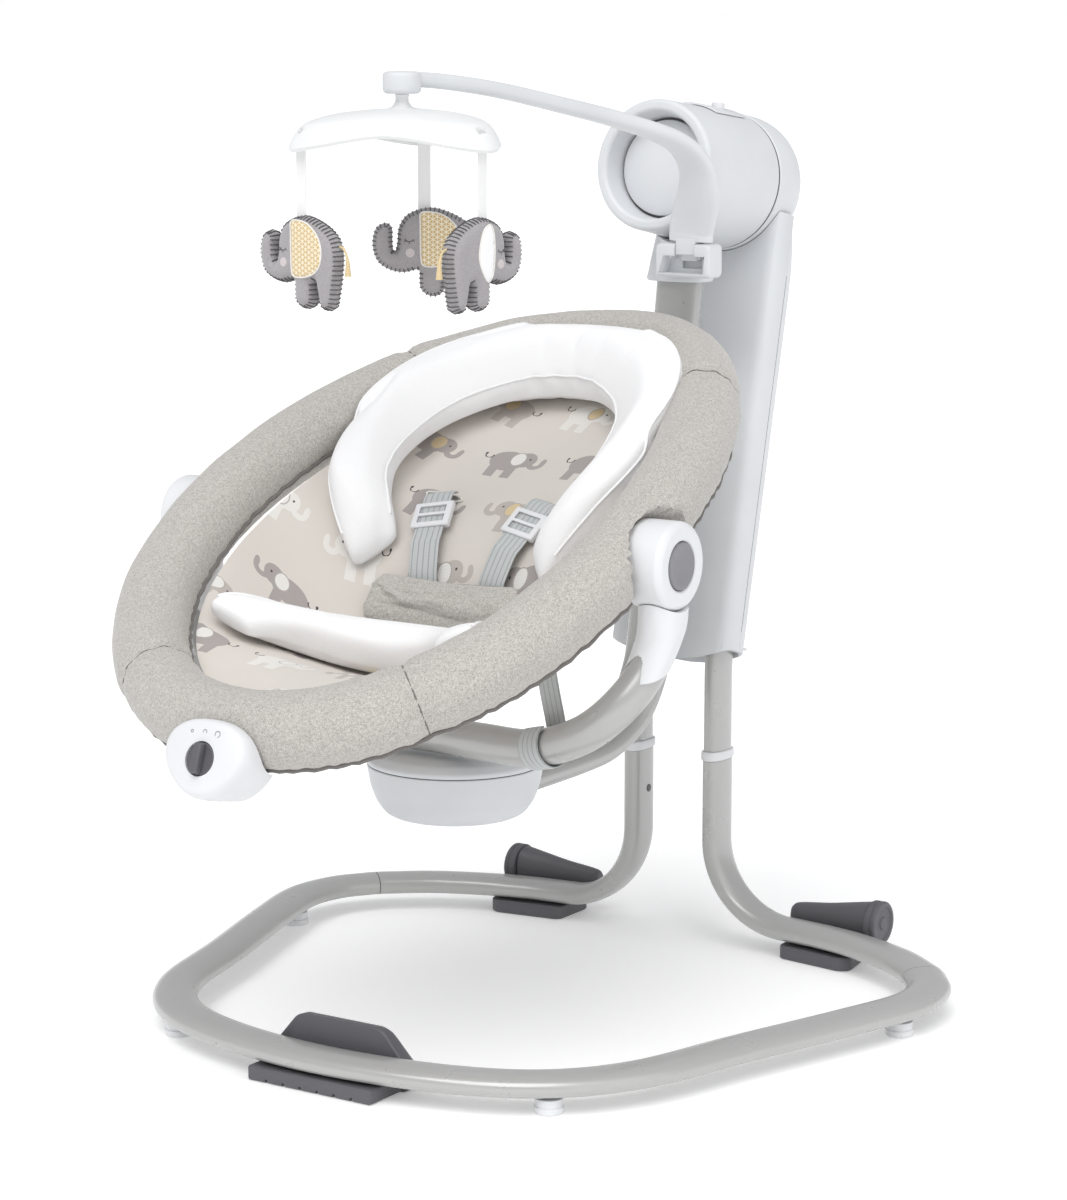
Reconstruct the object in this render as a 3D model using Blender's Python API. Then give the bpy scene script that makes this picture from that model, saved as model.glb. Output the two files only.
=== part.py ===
"""Swivelling electric baby swing: base ring, drive column, swing arm, seat and toy mobile.

Metres, +Z up, floor at Z = 0, +X to the sitter's left, the seat faces -Y.
"""
import math

import bmesh
import bpy
from mathutils import Matrix, Vector

# ---------------------------------------------------------------- driving dimensions
GAP = 0.0004                    # clearance left between touching solids

BASE_TUBE = (0.036, 0.018)      # flat oval tube, across and high
BASE_TUBE_Z = 0.0215            # centre line of the ring above the floor
RING_JOINT = (0.277, 0.197)     # where the front hoop plugs into the rear tubes
RING_FRONT = ((0.0, -0.254), (0.095, -0.243), (0.170, -0.212), (0.219, -0.153),
              (0.250, -0.055), (0.285, 0.050), (0.304, 0.118), (0.299, 0.163))
RING_REAR = ((0.236, 0.229), (0.186, 0.251), (0.146, 0.261))
FOOT_SPOTS = ((0.176, -0.208), (0.302, 0.108))
FOOT_RADIUS = 0.0115
RISER_X = 0.040                 # half distance between the two risers
RISER_Y = 0.265
RISER_BEND = 0.072              # radius of the bend from floor to riser
LEG_TUBE = (0.0325, 0.018)      # upper legs, deep and wide
COLLAR_Z = (0.164, 0.172)
WHEEL_CENTRE = (0.1855, 0.2925, 0.0320)
WHEEL_RADIUS = 0.0190

COLUMN_LEAN = math.radians(13.4)
COLUMN_FOOT = Vector((0.0, 0.2410, 0.252))
COLUMN_HALF_WIDTH = 0.0600
COLUMN_DEPTH = 0.0445
COLUMN_SPLIT_TOP = 0.392        # both shells end just under the axle
COLUMN_BOW = 0.014              # the lower edge hangs lowest at its middle
COLUMN_SEAM = 0.0245            # depth of the front shell
SHELL = 0.0024                  # moulded wall thickness

DRUM_TILT = math.radians(9.0)   # the swing axle rises towards the front
DRUM_CENTRE = Vector((0.0, 0.328, 0.658))
DRUM_LENGTH = 0.1135
DRUM_RADIUS = (0.0550, 0.0592)  # at the mouth and at the seam
HEAD_RADIUS = 0.0600
HEAD_DEPTH = 0.0720
HEAD_START = 0.0008             # running gap behind the drum
AXLE_HOLE = 0.0095
SHAFT_RADIUS = 0.0060

PANEL_Y = -0.038                # middle of the control panel along the axle
BUTTON_SPOTS = (-0.014, 0.014)  # the power key and the speed key, across the panel

ARM_TUBE = (0.043, 0.020)
HUB_CENTRE = Vector((0.0, -0.075, 0.0))
HUB_Z = (0.178, 0.219)
HUB_RADIUS = (0.056, 0.070)
CARRIER_RADIUS = 0.0145

HINGE = Vector((0.0, -0.120, 0.402))
HINGE_RADIUS = 0.033
HINGE_FACES = (0.2010, 0.2350)
BUTTON_RADIUS = 0.0180

SEAT_CENTRE = Vector((0.0, -0.092, 0.430))
SEAT_TILT = math.radians(26.0)
RIM_LENGTH = 0.285              # half length of the rim's centre line
RIM_WIDTH = 0.190               # half width
RIM_EGG = 0.12                  # how much wider the foot half is
RIM_BOW = (-0.022, -0.008)      # how far the two ends drop below the rim plane
RIM_TUBE_RADIUS = 0.0095
PAD_RADIUS = 0.0300
SEAT_FABRIC = 0.0050
STRAP_LOW = (0.036, 0.002)      # shoulder strap's lower end, in seat x and y
STRAP_TOP = (0.050, 0.060)      # where it leaves the backrest
STRAP_MIDDLE = 0.58             # where the adjuster sits along it
STRAP_REACH = 0.055             # how far the retaining straps rise above the carrier tube

POD_TILT = math.radians(20.0)
POD_CENTRE = Vector((0.0, -0.3725, 0.2790))
DIAL_SPOT = Vector((0.0, -0.006, -0.0100))    # in the pod's frame

SOCKET_TOP = 0.6130             # rim of the socket that the mobile's arm drops into
MOBILE_TIP = Vector((0.0, -0.141, 0.750))
CANOPY_RADIUS = 0.088
TOY_ANGLES = (233.5, 353.5, 113.5)
TOY_NAMES = ("front", "right", "rear")
TOY_FACING = {"front": 118.5, "right": 270.0, "rear": 280.0}   # turn of each toy on its ribbon


# ---------------------------------------------------------------- scene and materials
def clear_scene():
    for obj in list(bpy.data.objects):
        bpy.data.objects.remove(obj, do_unlink=True)


def material(name, colour, roughness, metallic=0.0):
    mat = bpy.data.materials.get(name) or bpy.data.materials.new(name)
    mat.use_nodes = True
    shader = mat.node_tree.nodes["Principled BSDF"]
    shader.inputs["Base Color"].default_value = (*colour, 1.0)
    shader.inputs["Roughness"].default_value = roughness
    shader.inputs["Metallic"].default_value = metallic
    return mat


def silver_paint():
    return material("silver_paint", (0.38, 0.38, 0.36), 0.34, 0.55)


def pale_plastic():
    return material("pale_plastic", (0.62, 0.64, 0.66), 0.42)


def dark_plastic():
    return material("dark_plastic", (0.12, 0.12, 0.13), 0.5)


def steel():
    return material("steel", (0.56, 0.56, 0.57), 0.3, 1.0)


def copper():
    return material("copper", (0.60, 0.30, 0.16), 0.4, 1.0)


def board_green():
    return material("board_green", (0.05, 0.22, 0.12), 0.5)


def heather_fabric():
    return material("heather_fabric", (0.45, 0.43, 0.40), 0.95)


def print_fabric():
    return material("print_fabric", (0.68, 0.64, 0.60), 0.9)


def white_fabric():
    return material("white_fabric", (0.90, 0.90, 0.90), 0.9)


def grey_webbing():
    return material("grey_webbing", (0.42, 0.44, 0.44), 0.85)


def grey_plush():
    return material("grey_plush", (0.25, 0.24, 0.24), 0.95)


# ---------------------------------------------------------------- bodies and nodes
PIVOTS = {}


def pivot(name, place, parent=None):
    """An empty on a joint's axis that the pieces of one moving body hang from."""
    empty = bpy.data.objects.new(name + "_pivot", None)
    bpy.context.scene.collection.objects.link(empty)
    empty.empty_display_size = 0.02
    base = Vector((0.0, 0.0, 0.0))
    if parent:
        empty.parent = PIVOTS[parent][0]
        base = PIVOTS[parent][1]
    empty.location = Vector(place) - base
    PIVOTS[name] = (empty, Vector(place))


def add(name, bm, mat, body, smooth=True):
    """Turn a bmesh in world coordinates into a named object under its body's pivot."""
    empty, origin = PIVOTS[body]
    bmesh.ops.remove_doubles(bm, verts=bm.verts, dist=0.00002)
    bmesh.ops.recalc_face_normals(bm, faces=bm.faces)
    bmesh.ops.translate(bm, verts=bm.verts, vec=-origin)
    mesh = bpy.data.meshes.new(name)
    bm.to_mesh(mesh)
    bm.free()
    mesh.materials.append(mat)
    if smooth:
        mesh.shade_smooth()
        mesh.set_sharp_from_angle(angle=math.radians(35))
    obj = bpy.data.objects.new(name, mesh)
    bpy.context.scene.collection.objects.link(obj)
    obj.parent = empty
    return obj


def cutter(name, bm):
    """A hidden guide body, in world coordinates, for Boolean modifiers."""
    bmesh.ops.remove_doubles(bm, verts=bm.verts, dist=0.00002)
    bmesh.ops.recalc_face_normals(bm, faces=bm.faces)
    mesh = bpy.data.meshes.new(name)
    bm.to_mesh(mesh)
    bm.free()
    obj = bpy.data.objects.new(name, mesh)
    bpy.context.scene.collection.objects.link(obj)
    obj.hide_render = True
    obj.display_type = "WIRE"
    return obj


def combine(obj, other, operation="DIFFERENCE"):
    mod = obj.modifiers.new(operation.title() + "_" + other.name, "BOOLEAN")
    mod.object = other
    mod.operation = operation
    mod.solver = "EXACT"


# ---------------------------------------------------------------- shape tools
def oval(width, height, sides=12, power=2.6):
    """Points of a flat-sided oval, as (across, up) pairs."""
    points = []
    for i in range(sides):
        angle = 2 * math.pi * (i + 0.5) / sides
        c, s = math.cos(angle), math.sin(angle)
        points.append((width / 2 * math.copysign(abs(c) ** (2 / power), c),
                       height / 2 * math.copysign(abs(s) ** (2 / power), s)))
    return points


def circle(radius, sides=12):
    return oval(2 * radius, 2 * radius, sides, 2.0)


def smooth_path(points, steps, closed=False):
    """Catmull-Rom curve through the points, with the given steps per span."""
    pts = [Vector(p) for p in points]
    spans = len(pts) if closed else len(pts) - 1
    if not closed:
        pts = [2 * pts[0] - pts[1]] + pts + [2 * pts[-1] - pts[-2]]
    path = []
    for i in range(spans):
        a, b, c, d = [pts[(i + k - (1 if closed else 0)) % len(pts)] for k in range(4)]
        for j in range(steps):
            t = j / steps
            path.append(0.5 * (2 * b + (c - a) * t + (2 * a - 5 * b + 4 * c - d) * t ** 2
                               + (3 * b - a - 3 * c + d) * t ** 3))
    if not closed:
        path.append(pts[-2].copy())
    return path


def sweep_rings(path, section, width_axis, closed=False):
    """Rings of a section carried along a path; the section may be a function of 0..1."""
    rings = []
    across = Vector(width_axis)
    count = len(path)
    for i, point in enumerate(path):
        if closed:
            tangent = path[(i + 1) % count] - path[i - 1]
        else:
            tangent = path[min(i + 1, count - 1)] - path[max(i - 1, 0)]
        tangent.normalize()
        across = (across - tangent * across.dot(tangent)).normalized()
        up = tangent.cross(across)
        shape = section(i / (count - 1)) if callable(section) else section
        rings.append([point + across * a + up * b for a, b in shape])
    return rings


def loft(rings, closed=False):
    """Skin a row of equal rings, with flat caps unless the row closes on itself."""
    bm = bmesh.new()
    loops = [[bm.verts.new(p) for p in ring] for ring in rings]
    pairs = list(zip(loops, loops[1:]))
    if closed:
        pairs.append((loops[-1], loops[0]))
    for low, high in pairs:
        for i in range(len(low)):
            j = (i + 1) % len(low)
            bm.faces.new((low[i], low[j], high[j], high[i]))
    if not closed:
        bm.faces.new(list(reversed(loops[0])))
        bm.faces.new(loops[-1])
    return bm


def tube(path, section, width_axis, closed=False):
    return loft(sweep_rings(path, section, width_axis, closed), closed)


def turned(profile, origin, axis, steps=24):
    """Body of revolution; the profile is a closed list of (radius, distance along axis)."""
    axis = Vector(axis).normalized()
    side = axis.orthogonal().normalized()
    other = axis.cross(side)
    bm = bmesh.new()
    columns = []
    for i in range(steps):
        angle = 2 * math.pi * i / steps
        out = side * math.cos(angle) + other * math.sin(angle)
        columns.append([bm.verts.new(Vector(origin) + axis * d + out * r) for r, d in profile])
    for i in range(steps):
        here, there = columns[i], columns[(i + 1) % steps]
        for k in range(len(profile)):
            m = (k + 1) % len(profile)
            if profile[k][0] < 1e-6 and profile[m][0] < 1e-6:
                continue
            corners = [here[k], here[m], there[m], there[k]]
            if profile[k][0] < 1e-6:
                corners = [here[k], here[m], there[m]]
            elif profile[m][0] < 1e-6:
                corners = [here[k], here[m], there[k]]
            bm.faces.new(corners)
    return bm


def disc(radius, low, high, origin, axis, steps=24, edge=0.0):
    """A plain round body between two distances along its axis, with chamfered rims."""
    profile = [(0.0, low), (radius - edge, low), (radius, low + edge),
               (radius, high - edge), (radius - edge, high), (0.0, high)]
    if edge == 0.0:
        profile = [(0.0, low), (radius, low), (radius, high), (0.0, high)]
    return turned(profile, origin, axis, steps)


def box(low, high, frame=None, bevel=0.0):
    """A box between two corners, in world axes or in a given frame matrix."""
    bm = bmesh.new()
    bmesh.ops.create_cube(bm, size=1.0)
    low, high = Vector(low), Vector(high)
    for v in bm.verts:
        v.co = Vector([lo + (c + 0.5) * (hi - lo) for lo, hi, c in zip(low, high, v.co)])
    if bevel:
        bmesh.ops.bevel(bm, geom=bm.edges[:], offset=bevel, segments=1, affect="EDGES")
    if frame is not None:
        bm.transform(frame)
    return bm


def frame_at(origin, x_axis, y_axis, z_axis):
    m = Matrix((x_axis, y_axis, z_axis)).transposed().to_4x4()
    m.translation = Vector(origin)
    return m


def mirrored(point, side):
    return Vector((side * point[0], point[1], point[2]))


X_AXIS, Y_AXIS, Z_AXIS = Vector((1, 0, 0)), Vector((0, 1, 0)), Vector((0, 0, 1))

# The drum frame: X across, Y backwards along the axle, Z up the drum's face.
AXLE = Vector((0.0, math.cos(DRUM_TILT), -math.sin(DRUM_TILT)))
DRUM_UP = Vector((0.0, math.sin(DRUM_TILT), math.cos(DRUM_TILT)))
DRUM_FRAME = frame_at(DRUM_CENTRE, X_AXIS, AXLE, DRUM_UP)

# The column frame: X across, Y backwards through its depth, Z up its face.
COLUMN_BACK = Vector((0.0, math.cos(COLUMN_LEAN), -math.sin(COLUMN_LEAN)))
COLUMN_UP = Vector((0.0, math.sin(COLUMN_LEAN), math.cos(COLUMN_LEAN)))
COLUMN_FRAME = frame_at(COLUMN_FOOT, X_AXIS, COLUMN_BACK, COLUMN_UP)

# The seat frame: X across, Y from foot to head in the rim plane, Z out of the bowl.
SEAT_ALONG = Vector((0.0, math.cos(SEAT_TILT), math.sin(SEAT_TILT)))
SEAT_OUT = Vector((0.0, -math.sin(SEAT_TILT), math.cos(SEAT_TILT)))
SEAT_FRAME = frame_at(SEAT_CENTRE, X_AXIS, SEAT_ALONG, SEAT_OUT)

# The vibration unit's frame: X across, Y up its face, Z into the seat.
POD_OUT = Vector((0.0, -math.cos(POD_TILT), math.sin(POD_TILT)))
POD_UP = Vector((0.0, math.sin(POD_TILT), math.cos(POD_TILT)))
POD_FRAME = frame_at(POD_CENTRE, X_AXIS, POD_UP, -POD_OUT)


# ---------------------------------------------------------------- base and legs
def ring_point(xy, side=1):
    return Vector((side * xy[0], xy[1], BASE_TUBE_Z))


def build_base():
    """The floor ring: one front hoop and two rear tubes that bend up into risers."""
    ends = {}
    for side in (-1, 1):
        joint = ring_point(RING_JOINT, side)
        ahead = (ring_point(RING_REAR[0], side) - ring_point(RING_FRONT[-1], side)).normalized()
        ends[side] = [joint + ahead * d for d in (-0.005, -GAP, GAP, 0.005)]
    left = [ring_point(p, -1) for p in RING_FRONT[::-1]]
    right = [ring_point(p) for p in RING_FRONT[1:]]
    path = smooth_path(ends[-1][:1] + left + right + ends[1][:1], 2)
    path = ends[-1][1:2] + path + ends[1][1:2]
    add("base_tube_front", tube(path, oval(*BASE_TUBE, 10), Y_AXIS), silver_paint(), "stand")
    for side, word in ((-1, "right"), (1, "left")):
        floor = smooth_path(ends[side][3:] + [ring_point(p, side) for p in RING_REAR], 2)
        bend = []
        for i in range(7):
            angle = math.radians(90 * i / 6)
            bend.append(Vector((side * (RISER_X + RISER_BEND * (1 - math.sin(angle))), RISER_Y,
                                BASE_TUBE_Z + RISER_BEND * (1 - math.cos(angle)))))
        top = Vector((side * RISER_X, RISER_Y, COLLAR_Z[0] - GAP))
        run = ends[side][2:3] + floor + bend + [top]
        riser = tube(run, oval(*BASE_TUBE, 10), Vector((0.4 * side, 0.9, 0.0)))
        add("base_tube_rear_" + word, riser, silver_paint(), "stand")


def build_legs():
    for side, word in ((-1, "right"), (1, "left")):
        rings = []
        for z, grow in ((COLLAR_Z[0], 0.001), (COLLAR_Z[0] + 0.0015, 0.003),
                        (COLLAR_Z[1] - 0.0015, 0.003), (COLLAR_Z[1], 0.001)):
            rings.append([Vector((side * RISER_X + b, RISER_Y + a, z))
                          for a, b in oval(BASE_TUBE[0] + grow, BASE_TUBE[1] + grow, 10)])
        add("leg_collar_" + word, loft(rings), pale_plastic(), "stand")
        path = smooth_path([(side * RISER_X, RISER_Y, COLLAR_Z[1] + GAP),
                            (side * RISER_X, RISER_Y, 0.215),
                            (side * RISER_X, RISER_Y + 0.0005, 0.245),
                            (side * RISER_X, RISER_Y + 0.0040, 0.2765),
                            (side * RISER_X, RISER_Y + 0.0130, 0.3150)], 2)
        add("column_leg_" + word, tube(path, oval(*LEG_TUBE, 10), Y_AXIS), silver_paint(), "stand")


def build_feet():
    for (x, y), place in zip(FOOT_SPOTS, ("front", "side")):
        for side, word in ((-1, "right"), (1, "left")):
            foot = turned([(0.0, 0.0), (FOOT_RADIUS, 0.0), (FOOT_RADIUS - 0.0008, 0.0120 - GAP),
                           (0.0, 0.0120 - GAP)], (side * x, y, 0.0), Z_AXIS, 14)
            add("foot_%s_%s" % (place, word), foot, pale_plastic(), "stand")

    # Front stabiliser: a low trapezoid block inside the hoop with a sole under the tube.
    inner_y = RING_FRONT[0][1] + BASE_TUBE[0] / 2 + 0.0055
    outline = [(-0.064, 0.0), (0.064, 0.0), (0.062, 0.020), (0.042, 0.043), (0.036, 0.046),
               (-0.036, 0.046), (-0.042, 0.043), (-0.062, 0.020)]
    rings = [[Vector((x * s, inner_y + d, z * t)) for x, z in outline]
             for d, s, t in ((0.0, 1.0, 1.0), (0.010, 1.0, 0.98), (0.020, 0.95, 0.78))]
    block = add("front_stabiliser", loft(rings), dark_plastic(), "stand")
    sole = box((-0.058, -0.2705, 0.0), (0.058, inner_y + 0.004, 0.0120 - GAP))
    combine(block, cutter("front_sole", sole), "UNION")


def build_rear_feet():
    """Dark soles under the rear tubes, each carrying a tapered housing and a roll wheel."""
    for side, word in ((-1, "right"), (1, "left")):
        sole = [(0.112, 0.2475), (0.176, 0.2385), (0.184, 0.2450), (0.176, 0.2940),
                (0.112, 0.2960)]
        bottom = [Vector((side * x, y, 0.0)) for x, y in sole]
        top = [Vector((side * x, y, 0.0120 - GAP)) for x, y in sole]
        web = box((0.116, 0.2860, 0.002), (0.160, 0.2950, 0.024))
        for v in web.verts:
            v.co.x *= side
        rings = []
        for x, y, z, ry, rz in ((0.100, 0.2965, 0.0255, 0.0060, 0.0090),
                                (0.106, 0.2965, 0.0262, 0.0085, 0.0115),
                                (0.135, 0.2955, 0.0280, 0.0098, 0.0135),
                                (0.160, 0.2940, 0.0300, 0.0125, 0.0160),
                                (0.1785, 0.2930, 0.0315, 0.0150, 0.0178)):
            rings.append([Vector((side * x, y + a, z + b))
                          for a, b in oval(2 * ry, 2 * rz, 12, 2.4)])
        foot = add("rear_foot_" + word, loft(rings), dark_plastic(), "stand")
        combine(foot, cutter("rear_sole_" + word, loft([bottom, top])), "UNION")
        combine(foot, cutter("rear_web_" + word, web), "UNION")
        wheel = disc(WHEEL_RADIUS, -0.0062, 0.0050, mirrored(WHEEL_CENTRE, side),
                     (side, 0, 0), 16, 0.0012)
        add("transport_wheel_" + word, wheel, dark_plastic(), "wheel_" + word)


# ---------------------------------------------------------------- drive column
def column_shell(rear):
    """One half of the column: a channel along the column with a wall of even thickness."""
    def outline(half, front, back):
        if rear:
            run = [(half - 0.0020, COLUMN_SEAM + GAP), (half - 0.0030, back - 0.012),
                   (half - 0.0080, back - 0.003), (half - 0.0180, back)]
        else:
            run = [(half - 0.0015, COLUMN_SEAM - GAP), (half, front + 0.012),
                   (half - 0.0040, front + 0.0035), (half - 0.0160, front)]
        return run + [(-x, y) for x, y in reversed(run)]
    outer = outline(COLUMN_HALF_WIDTH, 0.0, COLUMN_DEPTH)
    inner = outline(COLUMN_HALF_WIDTH - SHELL, SHELL, COLUMN_DEPTH - SHELL)
    section = outer + inner[::-1]
    rings = []
    for z, bow in ((0.0, COLUMN_BOW), (0.040, 0.008), (0.100, 0.0), (COLUMN_SPLIT_TOP, 0.0)):
        rings.append([COLUMN_FRAME @ Vector((x, y, z + bow * (x / COLUMN_HALF_WIDTH) ** 2))
                      for x, y in section])
    return loft(rings)


def head_arc(shrink):
    """Half outline of the head's back, from its side to its pole, as (radius, distance)."""
    radius, depth = HEAD_RADIUS - shrink, HEAD_DEPTH - shrink
    arc = []
    for i in range(6):
        angle = math.radians(90 * i / 5)
        arc.append((radius * math.cos(angle), 0.026 + (depth - 0.026) * math.sin(angle)))
    arc[-1] = (0.0, depth)
    return arc


def head_shell():
    """Round capsule behind the drum, closed by a domed back, with a hole for the axle."""
    front = HEAD_START
    outer = [(AXLE_HOLE, front), (HEAD_RADIUS, front)] + head_arc(0.0)
    inner = [(AXLE_HOLE, front + SHELL), (HEAD_RADIUS - SHELL, front + SHELL)] + head_arc(SHELL)
    return turned(outer + inner[::-1], DRUM_CENTRE, AXLE, 24)


def build_covers():
    """Two moulded column shells; the rear one carries the round head for the axle."""
    legs = [cutter("leg_hole_" + word,
                   box((side * RISER_X - 0.0105, 0.0040, -0.02),
                       (side * RISER_X + 0.0105, COLUMN_DEPTH - SHELL - GAP, 0.030), COLUMN_FRAME))
            for side, word in ((-1, "right"), (1, "left"))]
    half = COLUMN_HALF_WIDTH - SHELL / 2
    floors = {"front": (SHELL / 2, COLUMN_SEAM - GAP),
              "rear": (COLUMN_SEAM + GAP, COLUMN_DEPTH - SHELL / 2)}
    for word, (near, far) in floors.items():
        cover = add("column_%s_cover" % word, column_shell(word == "rear"), pale_plastic(), "stand")
        floor = box((-half + 0.0035, near, 0.0150), (half - 0.0035, far, 0.0174), COLUMN_FRAME)
        combine(cover, cutter("floor_" + word, floor), "UNION")
        for leg in legs:
            combine(cover, leg)
        grow = 0.0008 if word == "front" else -SHELL / 2
        zone = turned([(0.0, -0.03), (HEAD_RADIUS + grow, -0.03)]
                      + [(r, d) for r, d in head_arc(-grow)], DRUM_CENTRE, AXLE, 24)
        combine(cover, cutter("head_zone_" + word, zone))
        if word == "rear":
            combine(cover, cutter("head_capsule", head_shell()), "UNION")
            inlet = box((-0.0105, 0.030, 0.0505), (0.0105, 0.060, 0.0645), COLUMN_FRAME)
            combine(cover, cutter("inlet_hole", inlet))


def build_column_inside():
    """What the column holds: axle bearings, the magnetic drive, the circuit and the inlet."""
    block = turned([(0.0105, 0.0060), (0.0560, 0.0100), (0.0560, 0.0150), (0.0240, 0.0170),
                    (0.0200, 0.0300), (0.0105, 0.0300)], DRUM_CENTRE, AXLE, 20)
    add("bearing_block", block, dark_plastic(), "stand")
    race = turned([(SHAFT_RADIUS + 0.0002, 0.0065), (0.0101, 0.0065), (0.0101, 0.0290),
                   (SHAFT_RADIUS + 0.0002, 0.0290)], DRUM_CENTRE, AXLE, 16)
    add("axle_bearing", race, steel(), "stand")

    coil = turned([(0.006, -0.006), (0.015, -0.006), (0.015, 0.006), (0.006, 0.006)],
                  COLUMN_FRAME @ Vector((0.0, 0.0280, 0.336)), COLUMN_BACK, 16)
    add("drive_coil", coil, copper(), "stand")
    board = box((-0.040, 0.0290, 0.150), (0.040, 0.0306, 0.245), COLUMN_FRAME)
    add("circuit_board", board, board_green(), "stand")
    inlet = box((-0.0100, 0.0220, 0.0510), (0.0100, COLUMN_DEPTH + 0.001, 0.0640), COLUMN_FRAME)
    socket = add("power_inlet", inlet, dark_plastic(), "stand")
    mouth = disc(0.0040, 0.004, 0.030, COLUMN_FRAME @ Vector((0.0, 0.026, 0.0575)),
                 COLUMN_BACK, 16)
    combine(socket, cutter("inlet_mouth", mouth))


# ---------------------------------------------------------------- swing arm
def drum_radius(y):
    mix = (y + DRUM_LENGTH) / DRUM_LENGTH
    return DRUM_RADIUS[0] + (DRUM_RADIUS[1] - DRUM_RADIUS[0]) * mix


def build_drum():
    """Round swing head: a recessed mouth, a web for the axle and an open back."""
    front = -DRUM_LENGTH
    profile = [(0.0, front + 0.030), (0.0420, front + 0.030), (0.0430, front + 0.0180),
               (0.0455, front + 0.002), (0.0475, front), (0.0530, front),
               (DRUM_RADIUS[0] + 0.0004, front + 0.0025), (drum_radius(-0.06), -0.06),
               (DRUM_RADIUS[1], -0.0015), (DRUM_RADIUS[1] - 0.001, -0.0004),
               (DRUM_RADIUS[1] - 0.0030, -0.0004), (drum_radius(-0.07) - 0.0045, -0.0765),
               (0.0160, -0.0770), (0.0145, -0.0450), (0.0, -0.0450)]
    drum = add("arm_drum", turned(profile, DRUM_CENTRE, AXLE, 28), pale_plastic(), "swing_arm")
    for x in BUTTON_SPOTS:
        hole = disc(0.0062, 0.045, 0.075, DRUM_CENTRE + AXLE * PANEL_Y + X_AXIS * x, DRUM_UP, 12)
        combine(drum, cutter("button_hole_%d" % (x * 1000), hole))
    combine(drum, cutter("shaft_seat", disc(SHAFT_RADIUS + 0.0003, -0.060, 0.01,
                                            DRUM_CENTRE, AXLE, 16)))
    face = turned([(0.0, front + 0.0175), (0.0395, front + 0.0195), (0.0405, front + 0.0215),
                   (0.0405, front + 0.030 - GAP), (0.0, front + 0.030 - GAP)],
                  DRUM_CENTRE, AXLE, 28)
    for v in face.verts:
        y = (DRUM_FRAME.inverted() @ v.co).y
        radial = (v.co - DRUM_CENTRE - AXLE * y).length
        if y < front + 0.0205 and radial < 0.02:
            v.co -= AXLE * 0.0045
    add("drum_face_disc", face, pale_plastic(), "swing_arm")
    shaft = turned([(0.0, -0.0595), (SHAFT_RADIUS, -0.0595), (SHAFT_RADIUS, 0.0385),
                    (0.0, 0.0385)], DRUM_CENTRE, AXLE, 16)
    axle = add("swing_shaft", shaft, steel(), "swing_arm")
    lever = box((-0.0060, 0.0305, -0.0430), (0.0060, 0.0365, -0.0010), DRUM_FRAME)
    combine(axle, cutter("drive_lever", lever), "UNION")
    magnet = box((-0.0100, 0.0300, -0.0515), (0.0100, 0.0380, -0.0420), DRUM_FRAME)
    combine(axle, cutter("drive_magnet", magnet), "UNION")


def build_controls():
    """Curved control panel on top of the drum with two round keys."""
    rings = []
    for y in (PANEL_Y - 0.024, PANEL_Y - 0.022, PANEL_Y + 0.022, PANEL_Y + 0.024):
        thick = 0.0008 if abs(y - PANEL_Y) > 0.023 else 0.0018
        base = drum_radius(y) + GAP
        arc = [math.radians(a) for a in (-28, -17, -6, 6, 17, 28)]
        top = base + thick
        outer = [DRUM_FRAME @ Vector((top * math.sin(a), y, top * math.cos(a))) for a in arc]
        inner = [DRUM_FRAME @ Vector(((base + 0.0002) * math.sin(a), y,
                                      (base + 0.0002) * math.cos(a))) for a in reversed(arc)]
        rings.append(outer + inner)
    panel = add("control_panel", loft(rings), pale_plastic(), "swing_arm")
    for x, word in zip(BUTTON_SPOTS, ("power", "speed")):
        start = DRUM_CENTRE + AXLE * PANEL_Y + X_AXIS * x
        hole = disc(0.0062, 0.045, 0.075, start, DRUM_UP, 12)
        combine(panel, cutter("panel_hole_" + word, hole))
        key = disc(0.0057, 0.0505, 0.0622, start, DRUM_UP, 12, 0.0006)
        add(word + "_button", key, pale_plastic(), word + "_button")


def arm_path():
    """Centre line of the swing arm: down behind the seat and forward under it."""
    return smooth_path([(0.0, 0.2655, 0.592), (0.0, 0.2600, 0.556), (0.0, 0.2385, 0.413),
                        (0.0, 0.2190, 0.283), (0.0, 0.2070, 0.243), (0.0, 0.1800, 0.211),
                        (0.0, 0.1400, 0.1935), (0.0, 0.0900, 0.1885), (0.0, -0.0300, 0.1880)], 2)


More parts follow.
